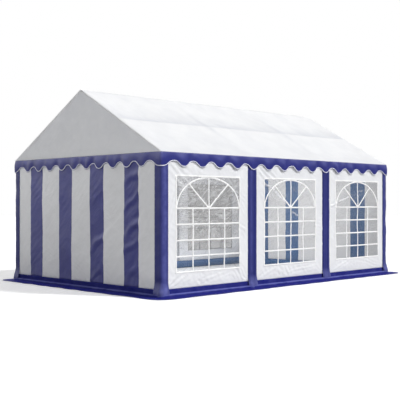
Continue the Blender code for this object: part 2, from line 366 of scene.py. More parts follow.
def noise(place, scale, detail=2.0, **settings):
    """The grey value of a Noise texture."""
    return node("ShaderNodeTexNoise", {"Vector": place, "Scale": scale, "Detail": detail, **settings})["Fac"]


def wave(place, scale, direction):
    """The grey value of a Wave texture."""
    return node("ShaderNodeTexWave", {"Vector": place, "Scale": scale}, bands_direction=direction)["Fac"]


def ramp(value, low, high, to_low=0.0, to_high=1.0):
    """A value carried from one range to another, and held at its ends."""
    links = {"Value": value, "From Min": low, "From Max": high, "To Min": to_low, "To Max": to_high}
    return node("ShaderNodeMapRange", links)[0]


def part_way(amount, first, second):
    """A value between two others."""
    return node("ShaderNodeMix", {0: amount, 2: first, 3: second})[0]


def mixed(amount, first, second, blend="MIX"):
    """A colour between two others, each a wire or three numbers."""
    first, second = ((*color, 1.0) if isinstance(color, tuple) else color for color in (first, second))
    return node("ShaderNodeMix", {0: amount, 6: first, 7: second}, data_type="RGBA", blend_type=blend)[2]


def wrinkle_family(plane, degrees, scale, stretch, detail=2.0):
    """Wrinkles that run one way: noise drawn out along a heading, as sharp ridges and as soft swells."""
    links = {"Vector": plane, "Rotation": (0, 0, math.radians(degrees)), "Scale": (stretch, 1, 1)}
    drawn = node("ShaderNodeMapping", links, vector_type="TEXTURE")[0]
    ridges = ramp(abs(noise(drawn, scale, detail) - 0.5), 0.0, 0.12, 1.0, 0.0)
    return ridges, noise(drawn, scale * 0.42, 1.0)


def make_group(name, build, **inputs):
    """A node group with a Vector and named values as inputs, whose outputs a function builds and names."""
    group = bpy.data.node_groups.new(name, "ShaderNodeTree")
    group.interface.new_socket("Vector", in_out="INPUT", socket_type="NodeSocketVector")
    for label, value in inputs.items():
        socket = group.interface.new_socket(label, in_out="INPUT", socket_type="NodeSocketFloat")
        socket.default_value = value
    results = build(node("NodeGroupInput", tree=group))
    for label in results:
        group.interface.new_socket(label, in_out="OUTPUT", socket_type="NodeSocketFloat")
    node("NodeGroupOutput", results)
    return group


def placed(group, **inputs):
    """The outputs of a node group that is placed in a tree with its own values."""
    return node("ShaderNodeGroup", inputs, node_tree=group)


# %% Cloth groups
def crinkle_lines(place):
    """Sharp lines where cells of a bent net meet, from 0 to 1."""
    bend = node("ShaderNodeTexNoise", {"Vector": place, "Scale": 6.0, "Detail": 3.0})["Color"]
    push = node("ShaderNodeVectorMath", {0: bend, 1: (0.2, 0.2, 0.2)}, operation="MULTIPLY")[0]
    moved = node("ShaderNodeVectorMath", {0: place, 1: push}, operation="ADD")[0]
    net = node("ShaderNodeTexVoronoi", {"Vector": moved, "Scale": 5.5}, feature="DISTANCE_TO_EDGE")
    return ramp(net["Distance"], 0.0, 0.14, 1.0, 0.0)


def coated_cloth(inputs):
    """Height in metres, tone and gloss: a fine net, two families of wrinkles, and soft unevenness."""
    place = inputs["Vector"]
    x, y, z = split_xyz(place)
    plane = flat_place(x + y, z)
    net = wave(plane, 110.0, "X") * wave(plane, 110.0, "Y")
    falling, falling_swell = wrinkle_family(plane, -40, 15.0, 3.6)
    rising, rising_swell = wrinkle_family(plane, 33, 14.0, 3.2)
    where = ramp(noise(plane, 1.7, 1.0), 0.42, 0.58)
    ridges = part_way(where, falling, rising)
    swell = part_way(where, falling_swell, rising_swell)
    amount = ramp(noise(plane, 2.9, 1.0), 0.36, 0.66, 0.15, 1.0)
    sparse = ramp(noise(place, 2.3, 1.0), 0.50, 0.70)
    wrinkles = ridges * amount * 0.0012 + crinkle_lines(place) * sparse * 0.0006 + swell * 0.0065
    soft = noise(place, 6.0, 3.0, Distortion=0.6)
    return {
        "Height": wrinkles * inputs["Wrinkles"] + net * 0.00005 + soft * 0.0035,
        "Tone": ramp(soft, 0.3, 0.7, 0.97, 1.0),
        "Gloss": ramp(noise(place, 3.5, 3.0), 0.35, 0.65),
    }


def shade_sheen_and_scuff_patches(inputs):
    """The painted shade, sheen and scuffs a mesh marks, in uneven patches that fall to the least share
    between them.
    """
    grey = noise(inputs["Vector"], inputs["Scale"], 4.0)
    return {"Mask": inputs["Wear"] * ramp(grey, 0.30, 0.62, inputs["Least"], 1.0)}


def ground_dust(inputs):
    """Splashed dust: strongest at the ground, patchy, and gone above the reach."""
    fall = ramp(split_xyz(inputs["Vector"])[2], 0.0, inputs["Reach"], 1.0, 0.0)
    patch = ramp(noise(inputs["Vector"], 14.0, 5.0, Roughness=0.65), 0.38, 0.70)
    return {"Mask": fall * fall * patch}


STRIPE_EDGES = (0.2525, 0.5975, 1.100, 1.4475)


def upright_stripes(inputs):
    """Blue between two pairs of stripe edges, painted greyer and paler towards the back and paler at the
    foot.
    """
    _, y, z = split_xyz(inputs["Vector"])
    off = abs(y)
    past = [off.math("GREATER_THAN", edge) for edge in STRIPE_EDGES]
    paler_to_back = ramp(y, -HALF_WIDTH, HALF_WIDTH, 0.92, 1.14)
    paler_at_foot = ramp(z, WALL_FOOT, 0.70, 1.10, 1.0)
    return {
        "Blue": past[0] - past[1] + past[2] - past[3],
        "Greyer_to_back": ramp(y, -HALF_WIDTH, HALF_WIDTH, 0.0, 0.07),
        "Tone": paler_to_back * paler_at_foot,
    }


COATED_CLOTH = make_group("coated_cloth", coated_cloth, Wrinkles=1.0)
SHADE_SHEEN_AND_SCUFF_PATCHES = make_group("shade_sheen_and_scuff_patches", shade_sheen_and_scuff_patches, Wear=0.0, Scale=5.0, Least=0.5)
GROUND_DUST = make_group("ground_dust", ground_dust, Reach=0.3)
UPRIGHT_STRIPES = make_group("upright_stripes", upright_stripes)
print("cloth groups:", len(bpy.data.node_groups))

# %% [markdown]
# ## Cloth materials
#
# All the cloths are the same stuff in different colours, so one function finishes them. The soft plastic
# skin is a little glossy, which is why the blue turns paler where it leans back to the sky. White cloth is
# painted greyer where it lies in shade, as painted shade, and blue cloth is painted paler where it catches
# the light, as painted sheen, with a few real scuffs. Each mesh marks such places with a value. The stripes
# come from the distance to the middle of the wall, because they run straight up and mirror each other. On
# their inside the blue is painted brighter and greener, as daylight coming through it, and the white is
# painted darker, as painted shade.

# %% Cloth materials
WHITE = (0.845, 0.852, 0.870)
WHITE_FADED = (0.868, 0.874, 0.888)
WHITE_SHADED_INSIDE = (0.697, 0.692, 0.688)
BLUE = (0.016, 0.021, 0.190)
BLUE_COVER = (0.012, 0.017, 0.150)
BLUE_DEEP = (0.010, 0.013, 0.172)
BLUE_STRIPE = (0.036, 0.040, 0.215)
BLUE_LIT_THROUGH = (0.046, 0.116, 0.260)
GREY_TO_BACK = (0.42, 0.43, 0.46)
DUST = (0.33, 0.29, 0.22)

# The colour of a marked place, the scale of its patches, and the least share between them. The grey
# is painted shade on white cloth, the pale blue a painted sheen on blue cloth, with a few real scuffs.
PAINTED_SHADE_GREY = ((0.60, 0.62, 0.68), 5.0, 0.60)
PAINTED_SHEEN_AND_SCUFFS = ((0.125, 0.140, 0.430), 9.0, 0.45)


def new_material(name, **values):
    """A Principled material, its shader and its Object coordinates."""
    material = bpy.data.materials.new(name)
    material.use_nodes = True
    shader = material.node_tree.nodes["Principled BSDF"]
    for label, value in values.items():
        shader.inputs[label.replace("_", " ")].default_value = value
    return material, shader, node("ShaderNodeTexCoord", tree=material.node_tree)["Object"]


def feed(shader, label, wire):
    """Lead a wire to an input of a shader."""
    wire.tree.links.new(wire.socket, shader.inputs[label])


def mark(shader, label):
    """A value that the mesh marks at its points."""
    return node("ShaderNodeAttribute", tree=shader.id_data, attribute_name=label)["Fac"]


def emboss(shader, height, strength=1.0, distance=1.0):
    """Bend a shader's normal by a height."""
    links = {"Height": height, "Strength": strength, "Distance": distance}
    feed(shader, "Normal", node("ShaderNodeBump", links)["Normal"])


def finish_cloth(shader, place, color, wrinkles, dust, gloss):
    """Tone, dust, relief and gloss on a cloth of some plain colour."""
    cloth = placed(COATED_CLOTH, Vector=place, Wrinkles=wrinkles)
    soil = placed(GROUND_DUST, Vector=place)["Mask"]
    color = mixed(1.0, color, cloth["Tone"], "MULTIPLY")
    feed(shader, "Base Color", mixed(soil * dust, color, DUST))
    feed(shader, "Roughness", ramp(cloth["Gloss"], 0.0, 1.0, *gloss))
    emboss(shader, cloth["Height"])


def plain_cloth(name, color, painted_light_and_wear, wrinkles, dust, gloss=(0.40, 0.52), shine=0.5):
    """Cloth of one colour, with another where a mesh marks painted shade, painted sheen and scuffs."""
    material, shader, place = new_material(name, Specular_IOR_Level=shine)
    marked_color, scale, least = painted_light_and_wear
    patches = placed(SHADE_SHEEN_AND_SCUFF_PATCHES, Vector=place, Wear=mark(shader, "painted_light_and_wear"), Scale=scale, Least=least)
    finish_cloth(shader, place, mixed(patches["Mask"], color, marked_color), wrinkles, dust, gloss)
    return material


def striped_cloth(name, white, blue, wrinkles):
    material, shader, place = new_material(name)
    stripes = placed(UPRIGHT_STRIPES, Vector=place)
    color = mixed(stripes["Blue"], white, blue)
    # Painted light: greyer and paler towards the back, and paler at the foot.
    color = mixed(stripes["Greyer_to_back"], color, GREY_TO_BACK)
    color = mixed(1.0, color, stripes["Tone"], "MULTIPLY")
    finish_cloth(shader, place, color, wrinkles, 0.02, (0.34, 0.46))
    return material


WHITE_WALL = plain_cloth("white_wall_cloth", WHITE, PAINTED_SHADE_GREY, 1.0, 0.04)
WHITE_ROOF = plain_cloth("white_roof_cloth", WHITE_FADED, PAINTED_SHADE_GREY, 0.15, 0.0, (0.70, 0.80), 0.1)
WHITE_GABLE = plain_cloth("white_gable_cloth", WHITE, PAINTED_SHADE_GREY, 0.6, 0.0)
BLUE_CLOTH = plain_cloth("blue_cloth", BLUE, PAINTED_SHEEN_AND_SCUFFS, 0.5, 0.05, (0.28, 0.40))
BLUE_LEG_COVER = plain_cloth("blue_cover_cloth", BLUE_COVER, PAINTED_SHEEN_AND_SCUFFS, 0.5, 0.05, (0.30, 0.44), 0.4)
BLUE_SKIRT = plain_cloth("blue_skirt_cloth", BLUE_DEEP, PAINTED_SHEEN_AND_SCUFFS, 0.6, 0.05, (0.50, 0.65), 0.04)
# The inside colours are lit and shaded copies: the blue is painted brighter and greener, as daylight coming
# through it, and the inner white darker, as painted shade.
BLUE_LINING = plain_cloth("blue_cloth_inside_painted_light", BLUE_LIT_THROUGH, PAINTED_SHEEN_AND_SCUFFS, 0.4, 0.05, (0.40, 0.50), 0.3)
STRIPED = striped_cloth("striped_cloth", WHITE, BLUE_STRIPE, 1.2)
STRIPED_INSIDE = striped_cloth("striped_cloth_inside_painted_light", WHITE_SHADED_INSIDE, BLUE_LIT_THROUGH, 0.6)
print("cloth materials:", len(bpy.data.materials))

# %% [markdown]
# ## Film, tape and steel
#
# The windows are soft clear film. From outside it shows a pale veil, whose grey is a painted reflection of
# the surroundings, as well as the inside of the tent, so it is mostly transparent. The mesh marks how thick
# the veil is as haze, how crushed the film is as crush, and where a fold catches the light as shine. Crushed
# arcs and shining folds are painted paler, as painted highlights. The bars of the windows are white tape
# welded to the film.
# The tubes are galvanised, a zinc skin with a pattern of dull and bright crystals.

# %% Film
# The veil's grey is a painted reflection of the surroundings, darker at the back as painted shade.
# FILM_SHINE is the painted highlight of folds and crushed arcs.
FILM_REFLECTION_GREY = (0.400, 0.400, 0.402)
FILM_REFLECTION_GREY_SHADED = (0.22, 0.22, 0.225)
FILM_SHINE = (0.88, 0.89, 0.91)


def crushed_film(inputs):
    """Short arcs where film was crushed, from 0 to 1, and the soft swell of its surface."""
    x, _, z = split_xyz(inputs["Vector"])
    plane = flat_place(x, z)
    flat_arcs, swell = wrinkle_family(plane, 7, 19.0, 4.5, 0.0)
    rising_arcs, _ = wrinkle_family(plane, 36, 15.0, 3.2, 0.0)
    where = ramp(noise(plane, 3.0, 1.0), 0.46, 0.54)
    patch = ramp(noise(plane, 7.0, 1.0), 0.36, 0.54)
    return {"Arcs": part_way(where, flat_arcs, rising_arcs) * patch, "Swell": swell}


CRUSHED_FILM = make_group("crushed_film", crushed_film)


def film_material(name, shade):
    """Clear film with a grey veil, a painted reflection, and painted highlights where crushed or folded."""
    material, shader, place = new_material(name, Roughness=0.22, Specular_IOR_Level=0.35)
    film = placed(CRUSHED_FILM, Vector=place)
    crushed = film["Arcs"] * mark(shader, "crush")
    shine = mark(shader, "shine")
    veil = film["Swell"] * 0.04 + 0.02 + mark(shader, "haze") * 0.50 + shine * 0.30 + crushed * 0.17
    feed(shader, "Alpha", veil)
    feed(shader, "Base Color", mixed(shine * 1.5 + crushed * 0.50, shade, FILM_SHINE))
    emboss(shader, crushed * 0.0005 + film["Swell"] * 0.0020)
    return material


CLEAR_FILM = {
    FRONT: film_material("clear_film", FILM_REFLECTION_GREY),
    BACK: film_material("clear_film_in_shade", FILM_REFLECTION_GREY_SHADED),
}

# %% Tape and steel
TAPE_WHITE = (0.985, 0.985, 0.985)
BINDING_PALE = (0.88, 0.885, 0.96)
ZINC_TINT = (1.0, 1.02, 1.05)
STEEL_PARTS = ("leg_", "rafter_", "purlin_", "ridge_rail", "eaves_rail", "ground_rail")


def tape_ribs(inputs):
    """Ribs across a tape, and a slight change of tone."""
    ribs = wave(inputs["Vector"], inputs["Scale"], "DIAGONAL")
    grain = ramp(noise(inputs["Vector"], 40.0, 3.0), 0.3, 0.7, 0.98, 1.0)
    return {"Ribs": ribs, "Tone": grain * ramp(ribs, 0.0, 1.0, 0.98, 1.0)}


TAPE_RIBS = make_group("tape_ribs", tape_ribs, Scale=90.0)


def tape_material(name, color, roughness, scale):
    material, shader, place = new_material(name, Roughness=roughness)
    ribbed = placed(TAPE_RIBS, Vector=place, Scale=scale)
    feed(shader, "Base Color", mixed(1.0, color, ribbed["Tone"], "MULTIPLY"))
    emboss(shader, ribbed["Ribs"], 0.3, 0.0005)
    return material


def steel_material():
    """Zinc crystals as patches of brighter and duller metal, with rough white bloom in places."""
    material, shader, place = new_material("galvanised_steel", Metallic=1.0)
    patch = node("ShaderNodeTexVoronoi", {"Vector": place, "Scale": 75.0})["Color"]
    crystal = node("ShaderNodeSeparateColor", {0: patch})
    bloom = noise(place, 11.0, 6.0)
    feed(shader, "Roughness", crystal[0] * 0.16 + 0.30 + bloom * 0.22)
    feed(shader, "Base Color", mixed(1.0, ZINC_TINT, crystal[1] * 0.16 + 0.66, "MULTIPLY"))
    emboss(shader, bloom, 0.25, 0.002)
    return material


TAPE = tape_material("white_tape", TAPE_WHITE, 0.35, 90.0)
BINDING = tape_material("pale_binding", BINDING_PALE, 0.55, 160.0)
STEEL = steel_material()
for name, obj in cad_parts.items():
    if name.startswith(STEEL_PARTS):
        obj.data.materials.clear()
        obj.data.materials.append(STEEL)
print("materials:", len(bpy.data.materials))

# %% [markdown]
# ## Roof cover
#
# The cover is one cloth over ridge, purlins and eaves. Between those rails it sags a little. Each sag is a
# parabola across its stretch, drawn towards the lower rail, where the cloth has slid down to, and strongest
# in the middle of a bay. Where the widths of cloth are welded together, at the inner frames, a band of
# double cloth stands a little proud. The white is painted greyer more and more down to each purlin, where
# the sag tilts the cloth away from the light, and along the frames: painted shade.

# %% Roof cover
SLOPE_LENGTH = HALF_WIDTH / math.cos(SLOPE)
RIDGE_ROUND = 0.008
ROOF_SAG = 0.048
ROOF_CELL = 0.035
ROOF_THICK = 0.0016
ROOF_INSET = 0.0012
SEAM_WIDTH = 0.04
INNER_LINES = [-HALF_LENGTH + number * BAY for number in range(1, BAYS)]


def roof_height(y):
    """The outside of the taut roof: two slopes with the ridge rounded as a hyperbola."""
    return RIDGE - SLOPE_TAN * np.sqrt(y * y + RIDGE_ROUND**2)


def roof_relief(x, y):
    """How far the cover stands off its taut shape, along the slope's normal."""
    along = np.abs(y) / HALF_WIDTH
    stretch = np.mod(2 * along, 1.0)
    between = 4 * stretch * (1 - stretch) * (0.35 + 1.25 * stretch**1.5)
    bay = np.mod((x + HALF_LENGTH) / BAY, 1.0)
    middle = 0.40 + 0.60 * np.sin(math.pi * bay) ** 0.7
    ends = smooth_step((HALF_LENGTH - np.abs(x)) / 0.45)
    edge = smooth_step((1 - along) / 0.03)
    seam = sum(np.exp(-(((x - line) / (SEAM_WIDTH / 2)) ** 4)) for line in INNER_LINES)
    near_rail = np.exp(-(1 - along) / 0.08) + 0.5 * np.exp(-np.abs(along - 0.5) / 0.06)
    pucker = 0.0015 * slack(x, y * 0.15, 5, (0.10, 0.26), 0.0, 0.25) * near_rail * ends * edge
    pull = slack(x, y, 6, (0.5, 1.3)) * 0.0035 * ends * between
    fine = (crinkles(x, y, 8, (0.20, 0.60), 0.5, 0.8) - 0.45) * 0.0012 * ends * edge
    return -ROOF_SAG * between * middle * ends + 0.0010 * seam + pucker + pull + fine


def roof_painted_shade(x, y):
    """Painted shade, more and more down to each purlin where the sag tilts the cloth, and along the frames.
    """
    along = np.abs(y) / HALF_WIDTH
    bay = np.mod((x + HALF_LENGTH) / BAY, 1.0)
    purlin_shade = np.clip((along - 0.24) / 0.24, 0, 1) ** 1.6 * (1 - smooth_step((along - 0.480) / 0.025))
    purlin_shade *= 0.60 + 0.40 * np.sin(math.pi * bay)
    bend = 0.10 * (along - 0.5) + 0.03 * np.sin(9 * along)
    frames = sum(np.exp(-(((x - line - bend) / 0.085) ** 2)) for line in INNER_LINES)
    near_purlin = np.exp(-(((along - 0.50) / 0.25) ** 2))
    # Also a little darker towards the eaves, and a random cloudy tone.
    low = 0.10 * smooth_step((along - 0.55) / 0.35)
    cloud = smooth_step(0.5 + 0.6 * slack(x, y, 7, (0.4, 1.2))) * 0.12
    return np.clip(0.60 * purlin_shade + 0.34 * frames * near_purlin + cloud + low, 0, 1)


def make_roof():
    columns = stops(-HALF_LENGTH, *INNER_LINES, HALF_LENGTH, cell=ROOF_CELL)
    run = np.linspace(-1, 1, round(2 * SLOPE_LENGTH / ROOF_CELL) // 2 * 2 + 1) * HALF_WIDTH
    x, y = grid(columns, run)
    relief = roof_relief(x, y)
    lean = math.sin(SLOPE) * np.tanh(y / RIDGE_ROUND)
    z = roof_height(y) - ROOF_INSET + relief * math.cos(SLOPE)
    points = stacked(x, y + relief * lean, z)
    flat = stacked(x, y / math.cos(SLOPE))
    # The roof is marked with painted shade down to the purlins and along the frames.
    mesh = sheet_mesh("roof_cover", points, flat, marks={"painted_light_and_wear": roof_painted_shade(x, y)})
    cover = hang(mesh, WHITE_ROOF, "white_cloth", ROOF_THICK, "roof_front", "roof_back")
    2 * SLOPE_LENGTH
    print("roof cover:", points.shape[:2], "points")


make_roof()

# %% [markdown]
# ## Gable triangles
#
# The triangle hangs from the edge of the roof, so its slack falls as fine upright wrinkles. The grid has
# upright columns that end on the slope: the height of a row is a share of the height at its column. The
# edge of the roof cover is turned over it as a hem, a strip that follows both slopes.

# %% Gables
GABLE_CELL = 0.024
GABLE_ROWS = 44
GABLE_EDGE = 0.012
GABLE_INSET = 0.0002
GABLE_BELOW_ROOF = 0.004
HEM_WIDTH = 0.030
HEM_COLUMNS = 121
HEM_BELOW_ROOF = 0.002
HEM_PROUD = 0.0012
CLOTH_THICK = 0.0012


def gable_relief(y, share, end):
    """Upright wrinkles, a broad billow and fine creases, all held down at the edges."""
    z = GABLE_FOOT + share * (roof_height(y) - GABLE_FOOT)
    free = smooth_step(share / 0.15) * smooth_step((1 - share) / 0.2)
    upright = slack(y, z * 0.15, 11 + end, (0.12, 0.34), 0.0, 0.25) * 0.0011
    billow = slack(y, z, 13 + end, (0.5, 1.2)) * 0.005
    crease = (crinkles(y, z, 15 + end, (0.10, 0.35), 0.3, 0.9) - 0.45) * 0.0012
    return free * (upright + billow + crease)


def make_hem(end):
    """The edge of the roof cover, turned down over a gable."""
    y, step = grid(np.linspace(-1, 1, HEM_COLUMNS) * HALF_WIDTH, np.array([0.0, 0.5, 1.0]))
    z = roof_height(y) - HEM_BELOW_ROOF - step * HEM_WIDTH / math.cos(SLOPE)
    out = HALF_LENGTH + HEM_PROUD - 0.0004 * step + 0.0006 * np.sin(31 * y) * step
    points = stacked(end * out, y, np.maximum(z, GABLE_FOOT - 0.001))
    mesh = sheet_mesh(f"roof_hem_{ENDS[end]}", points, turned=end == RIGHT)
    return hang(mesh, WHITE_ROOF, "white_cloth", CLOTH_THICK)


def make_gable(end):
    outward = np.linspace(-1, 1, round(2 * HALF_WIDTH / GABLE_CELL)) * (HALF_WIDTH - GABLE_EDGE)
    y, share = grid(outward, np.linspace(0, 1, GABLE_ROWS))
    z = GABLE_FOOT + share * (roof_height(y) - GABLE_BELOW_ROOF - GABLE_FOOT)
    points = stacked(end * (VALANCE_X - GABLE_INSET + gable_relief(y, share, end)), y, z)
    # Painted shade: the gable lies in shade and is painted greyer, more towards the top.
    flat, marks = stacked(y, z), {"painted_light_and_wear": 0.16 + 0.18 * share}
    mesh = sheet_mesh(f"gable_cloth_{ENDS[end]}", points, flat, turned=end == LEFT, marks=marks)
    cloth = hang(mesh, WHITE_GABLE, "white_cloth", CLOTH_THICK, f"gable_{ENDS[end]}")
    hem = make_hem(end)


for end in ENDS:
    make_gable(end)
print("gables:", len(ENDS))

# %% [markdown]
# ## Walls with windows
#
# A wall panel is one bay wide and has a clear window welded into it. The grid of the panel passes exactly
# through the edges of the window, so the hole is simply left out. The film and the bars use the same
# relief as the wall, so they always lie in it. Every panel is pulled from its four corners, and each has
# creases of its own, some of which run on into the film.

# %% Wall relief
CORNER_FANS = [
    ((0.08, 2.06), (-0.55, -0.75, -0.93, -1.10, -1.30), 0.022, 0.42),
    ((1.92, 2.06), (-2.60, -2.42, -2.20, -1.98, -1.80), 0.020, 0.40),
    ((0.08, 0.12), (0.30, 0.50, 0.70, 0.92, 1.20), 0.020, 0.45),
    ((1.92, 0.12), (2.80, 2.60, 2.40, 2.15, 1.92), 0.020, 0.45),
]
WALL_CREASES = {
    1: [
        ((0.28, 1.90), -35, 0.095, 0.17, 0.36, 0.46),
        ((0.15, 1.15), 72, 0.070, 0.08, 0.60, 0.22),
        ((1.86, 1.36), -45, 0.070, 0.15, 0.20, 0.42),
        ((1.86, 0.92), -40, 0.075, 0.11, 0.18, 0.45),
        ((0.40, 0.25), 34, 0.080, 0.12, 0.34, 0.26),
        ((1.05, 0.24), 14, 0.070, 0.08, 0.50, 0.22),
        ((1.72, 0.26), -50, 0.070, 0.12, 0.25, 0.38),
    ],
    2: [
        ((0.30, 1.92), -30, 0.085, 0.14, 0.40, 0.55),
        ((0.60, 1.56), -31, 0.105, 0.09, 0.40, 0.50),
        ((1.86, 1.02), -12, 0.064, 0.34, 0.17, 0.46),
        ((1.12, 1.20), -18, 0.088, 0.036, 0.13, 0.34),
        ((1.08, 1.62), -30, 0.062, 0.055, 0.11, 0.30),
        ((1.82, 1.80), -35, 0.065, 0.12, 0.22, 0.18),
        ((0.45, 0.25), 24, 0.070, 0.10, 0.34, 0.15),
        ((1.30, 0.25), 6, 0.062, 0.09, 0.50, 0.24),
    ],
    3: [
        ((0.16, 1.33), 18, 0.080, 0.06, 0.16, 0.75),
        ((0.52, 1.447), 18, 0.090, 0.06, 0.30, 0.40),
        ((1.10, 1.61), 12, 0.070, 0.075, 0.14, 0.31),
        ((0.96, 1.49), 22, 0.064, 0.040, 0.11, 0.31),
        ((0.15, 1.90), -50, 0.070, 0.14, 0.25, 0.18),
        ((1.84, 1.85), 48, 0.065, 0.12, 0.25, 0.18),
        ((0.50, 0.26), 20, 0.064, 0.10, 0.40, 0.28),
        ((1.40, 0.26), -14, 0.064, 0.10, 0.45, 0.30),
    ],
}


def wall_relief(x, z, number, side):
    """How far a wall panel stands off its plane: slack, folds from its corners, and fine crinkles."""
    u = x + HALF_LENGTH - (number - 1) * BAY
    seed = 100 * number + side
    out = np.minimum(u, BAY - u)
    bed = slack(u, z, seed, (0.45, 1.2)) * 0.0035
    fans = sum(fan_folds(u, z, *fan) for fan in CORNER_FANS)
    ripple = slack(u, z, seed + 3, (0.06, 0.14), 0.85, 0.45, 24) * slack(u, z, seed + 4, (0.4, 1.2)) * 0.0007
    crinkle = (crinkles(u, z, seed + 7, (0.12, 0.36), 0.8, 0.9) - 0.45) * 0.0026
    pucker = slack(u, z * 0.2, seed + 9, (0.08, 0.20), 0.0, 0.2) * 0.0007 * np.exp(-(z - WALL_FOOT) / 0.08)
    folds = 0.0030 * fans + gathers(u, z, WALL_CREASES[number])
    middle = free_share(out, z, 0.10, 0.20, 0.15, 0.30)
    free = free_share(out, z, 0.115, 0.07, 0.03, 0.12)
    return middle * bed + free * (crinkle + ripple + pucker + folds)


# %% [markdown]
# The bars are strips: a line in the plane of the wall, widened to both sides at right angles to its own
# direction, and pressed onto the relief. A frame of wider tape covers the weld round the film. Where tapes
# cross, each kind lies a fraction of a millimetre over the last, in the order in which they were welded.

# %% Window bars
BAR_WIDTH = 0.025
BAR_CELL = 0.012
BORDER_WIDTH = 0.024
BORDER_LAP = 0.004
BORDER_STEPS = 96
ARCH_STEPS = 120
SPRING_HEIGHT = 1.306
ROW_HEIGHT = 0.240
ROWS = 4
SIDE_BAR = 0.345
FAN_SHARE = 0.62
TAPE_THICK = 0.0014
TAPE_LIFT = 0.0019
UPRIGHT_LIFT, ARCH_LIFT, FAN_LIFT, BORDER_LIFT = 0.0002, 0.0003, 0.0004, 0.0006


def strip_points(line, relief, side, lift):
    """A bar along a line of (x, z) points, three points wide, lying on the relief."""
    along = np.gradient(line, axis=0)
    along /= np.linalg.norm(along, axis=1, keepdims=True)
    across = stacked(-along[:, 1], along[:, 0])
    rows = line[:, None, :] + across[:, None, :] * np.array([-0.5, 0.0, 0.5])[None, :, None] * BAR_WIDTH
    x, z = rows[..., 0], rows[..., 1]
    return stacked(x, side * (WALL_Y + relief(x, z) + TAPE_LIFT + lift), z)


def straight(start, end):
    """Points from one place to another, about a bar cell apart."""
    steps = max(2, round(math.dist(start, end) / BAR_CELL))
    return np.linspace(start, end, steps + 1)


def window_lines(middle, low, high, half):
    """The middle lines of the bars, each with its lift: rows, uprights, slanting bars and the arch."""
    hub = (middle, SPRING_HEIGHT)
    wide, rise = half - BAR_WIDTH / 4, high - SPRING_HEIGHT - BAR_WIDTH / 4
    turn = np.linspace(0, math.pi, ARCH_STEPS + 1)
    arch = stacked(middle + wide * np.cos(turn), SPRING_HEIGHT + rise * np.sin(turn))
    lines = [(straight((middle, low), (middle, high)), UPRIGHT_LIFT), (arch, ARCH_LIFT)]
    for row in range(ROWS):
        z = SPRING_HEIGHT - ROW_HEIGHT * row
        lines.append((straight((middle - half, z), (middle + half, z)), 0.0))
    for way in (-1, 1):
        x = middle + way * SIDE_BAR
        lines.append((straight((x, low), (x, SPRING_HEIGHT)), UPRIGHT_LIFT))
        tip = (middle + way * FAN_SHARE * half, SPRING_HEIGHT + rise * math.sqrt(1 - FAN_SHARE**2))
        lines.append((straight(hub, tip), FAN_LIFT))
    return lines


def border_points(low, high, relief, side):
    """A mitred frame of tape round a window, from just inside its edge outwards."""
    corners = np.array([(low.x, low.z), (high.x, low.z), (high.x, high.z), (low.x, high.z), (low.x, low.z)])
    away = np.sign(corners - corners[:4].mean(axis=0))
    rings = []
    for out in (-BORDER_LAP, BORDER_WIDTH / 2, BORDER_WIDTH):
        ring = corners + away * out
        runs = [np.linspace(a, b, BORDER_STEPS + 1)[:-1] for a, b in zip(ring, ring[1:])]
        rings.append(np.concatenate(runs))
    rings = np.stack(rings, axis=1)
    x, z = rings[..., 0], rings[..., 1]
    return stacked(x, side * (WALL_Y + relief(x, z) + TAPE_LIFT + BORDER_LIFT), z)


# %% [markdown]
# One call makes a panel, its film and its bars. The film of the first window is the most crumpled one, as
# soft film is after it has been folded in a bag, and the others are streaked by pull from one side. The
# windows at the back lie in the shade of the tent. They are smoother, show little but their haze, and their
# veil is painted a darker grey, as painted shade.

# %% Window walls
WALL_CELL = {FRONT: 0.014, BACK: 0.026}
FILM_CELL = {FRONT: 0.013, BACK: 0.026}
WALL_THICK = 0.0010
FILM_THICK = 0.0006
FILM_INSET = 0.0012
COVERED = 0.045
WELD = 0.012
TOUCH = 1e-6

# Depth of the crumple, length, heading and spread of its creases, and shares of haze, crush and shine.
FILMS = {
    1: dict(deep=0.0018, lengths=(0.07, 0.19), heading=0.10, spread=0.75, haze=0.98, crush=1.0, shine=0.45),
    2: dict(deep=0.0009, lengths=(0.12, 0.35), heading=-0.55, spread=0.4, haze=0.06, crush=0.32, shine=0.68),
    3: dict(deep=0.0009, lengths=(0.12, 0.35), heading=0.15, spread=0.4, haze=0.05, crush=0.36, shine=0.68),
}
BACK_FILM = dict(deep=0.0008, lengths=(0.25, 0.60), haze=1.15, crush=0.12)


def crumple(x, z, low, high, seed, look):
    """Crinkles of a film, from 0 to 1, which die out at the edges of its window."""
    edge = np.minimum(np.minimum(x - low.x, high.x - x), np.minimum(z - low.z, high.z - z))
    heading = look["heading"] + math.pi / 2
    return smooth_step(edge / 0.06) * crinkles(x, z, seed, look["lengths"], heading, look["spread"])


def film_marks(x, z, number, side, look, crumpled):
    """Haze, crush and shine: the front films clear up near their foot, and folds catch the light."""
    haze = look["haze"] * (0.72 + 0.28 * crumpled**1.5)
    crush = look["crush"] + 0 * z
    if side == FRONT:
        haze = haze * (0.08 + 0.92 * smooth_step((z - 0.62) / 0.5))
        crush = crush * smooth_step((z - 0.45) / 0.5)
    fold = gathers(x + HALF_LENGTH - (number - 1) * BAY, z, WALL_CREASES[number]) / 0.0030
    return {"haze": haze, "crush": crush, "shine": look["shine"] * np.clip(fold, 0, 1) ** 2}


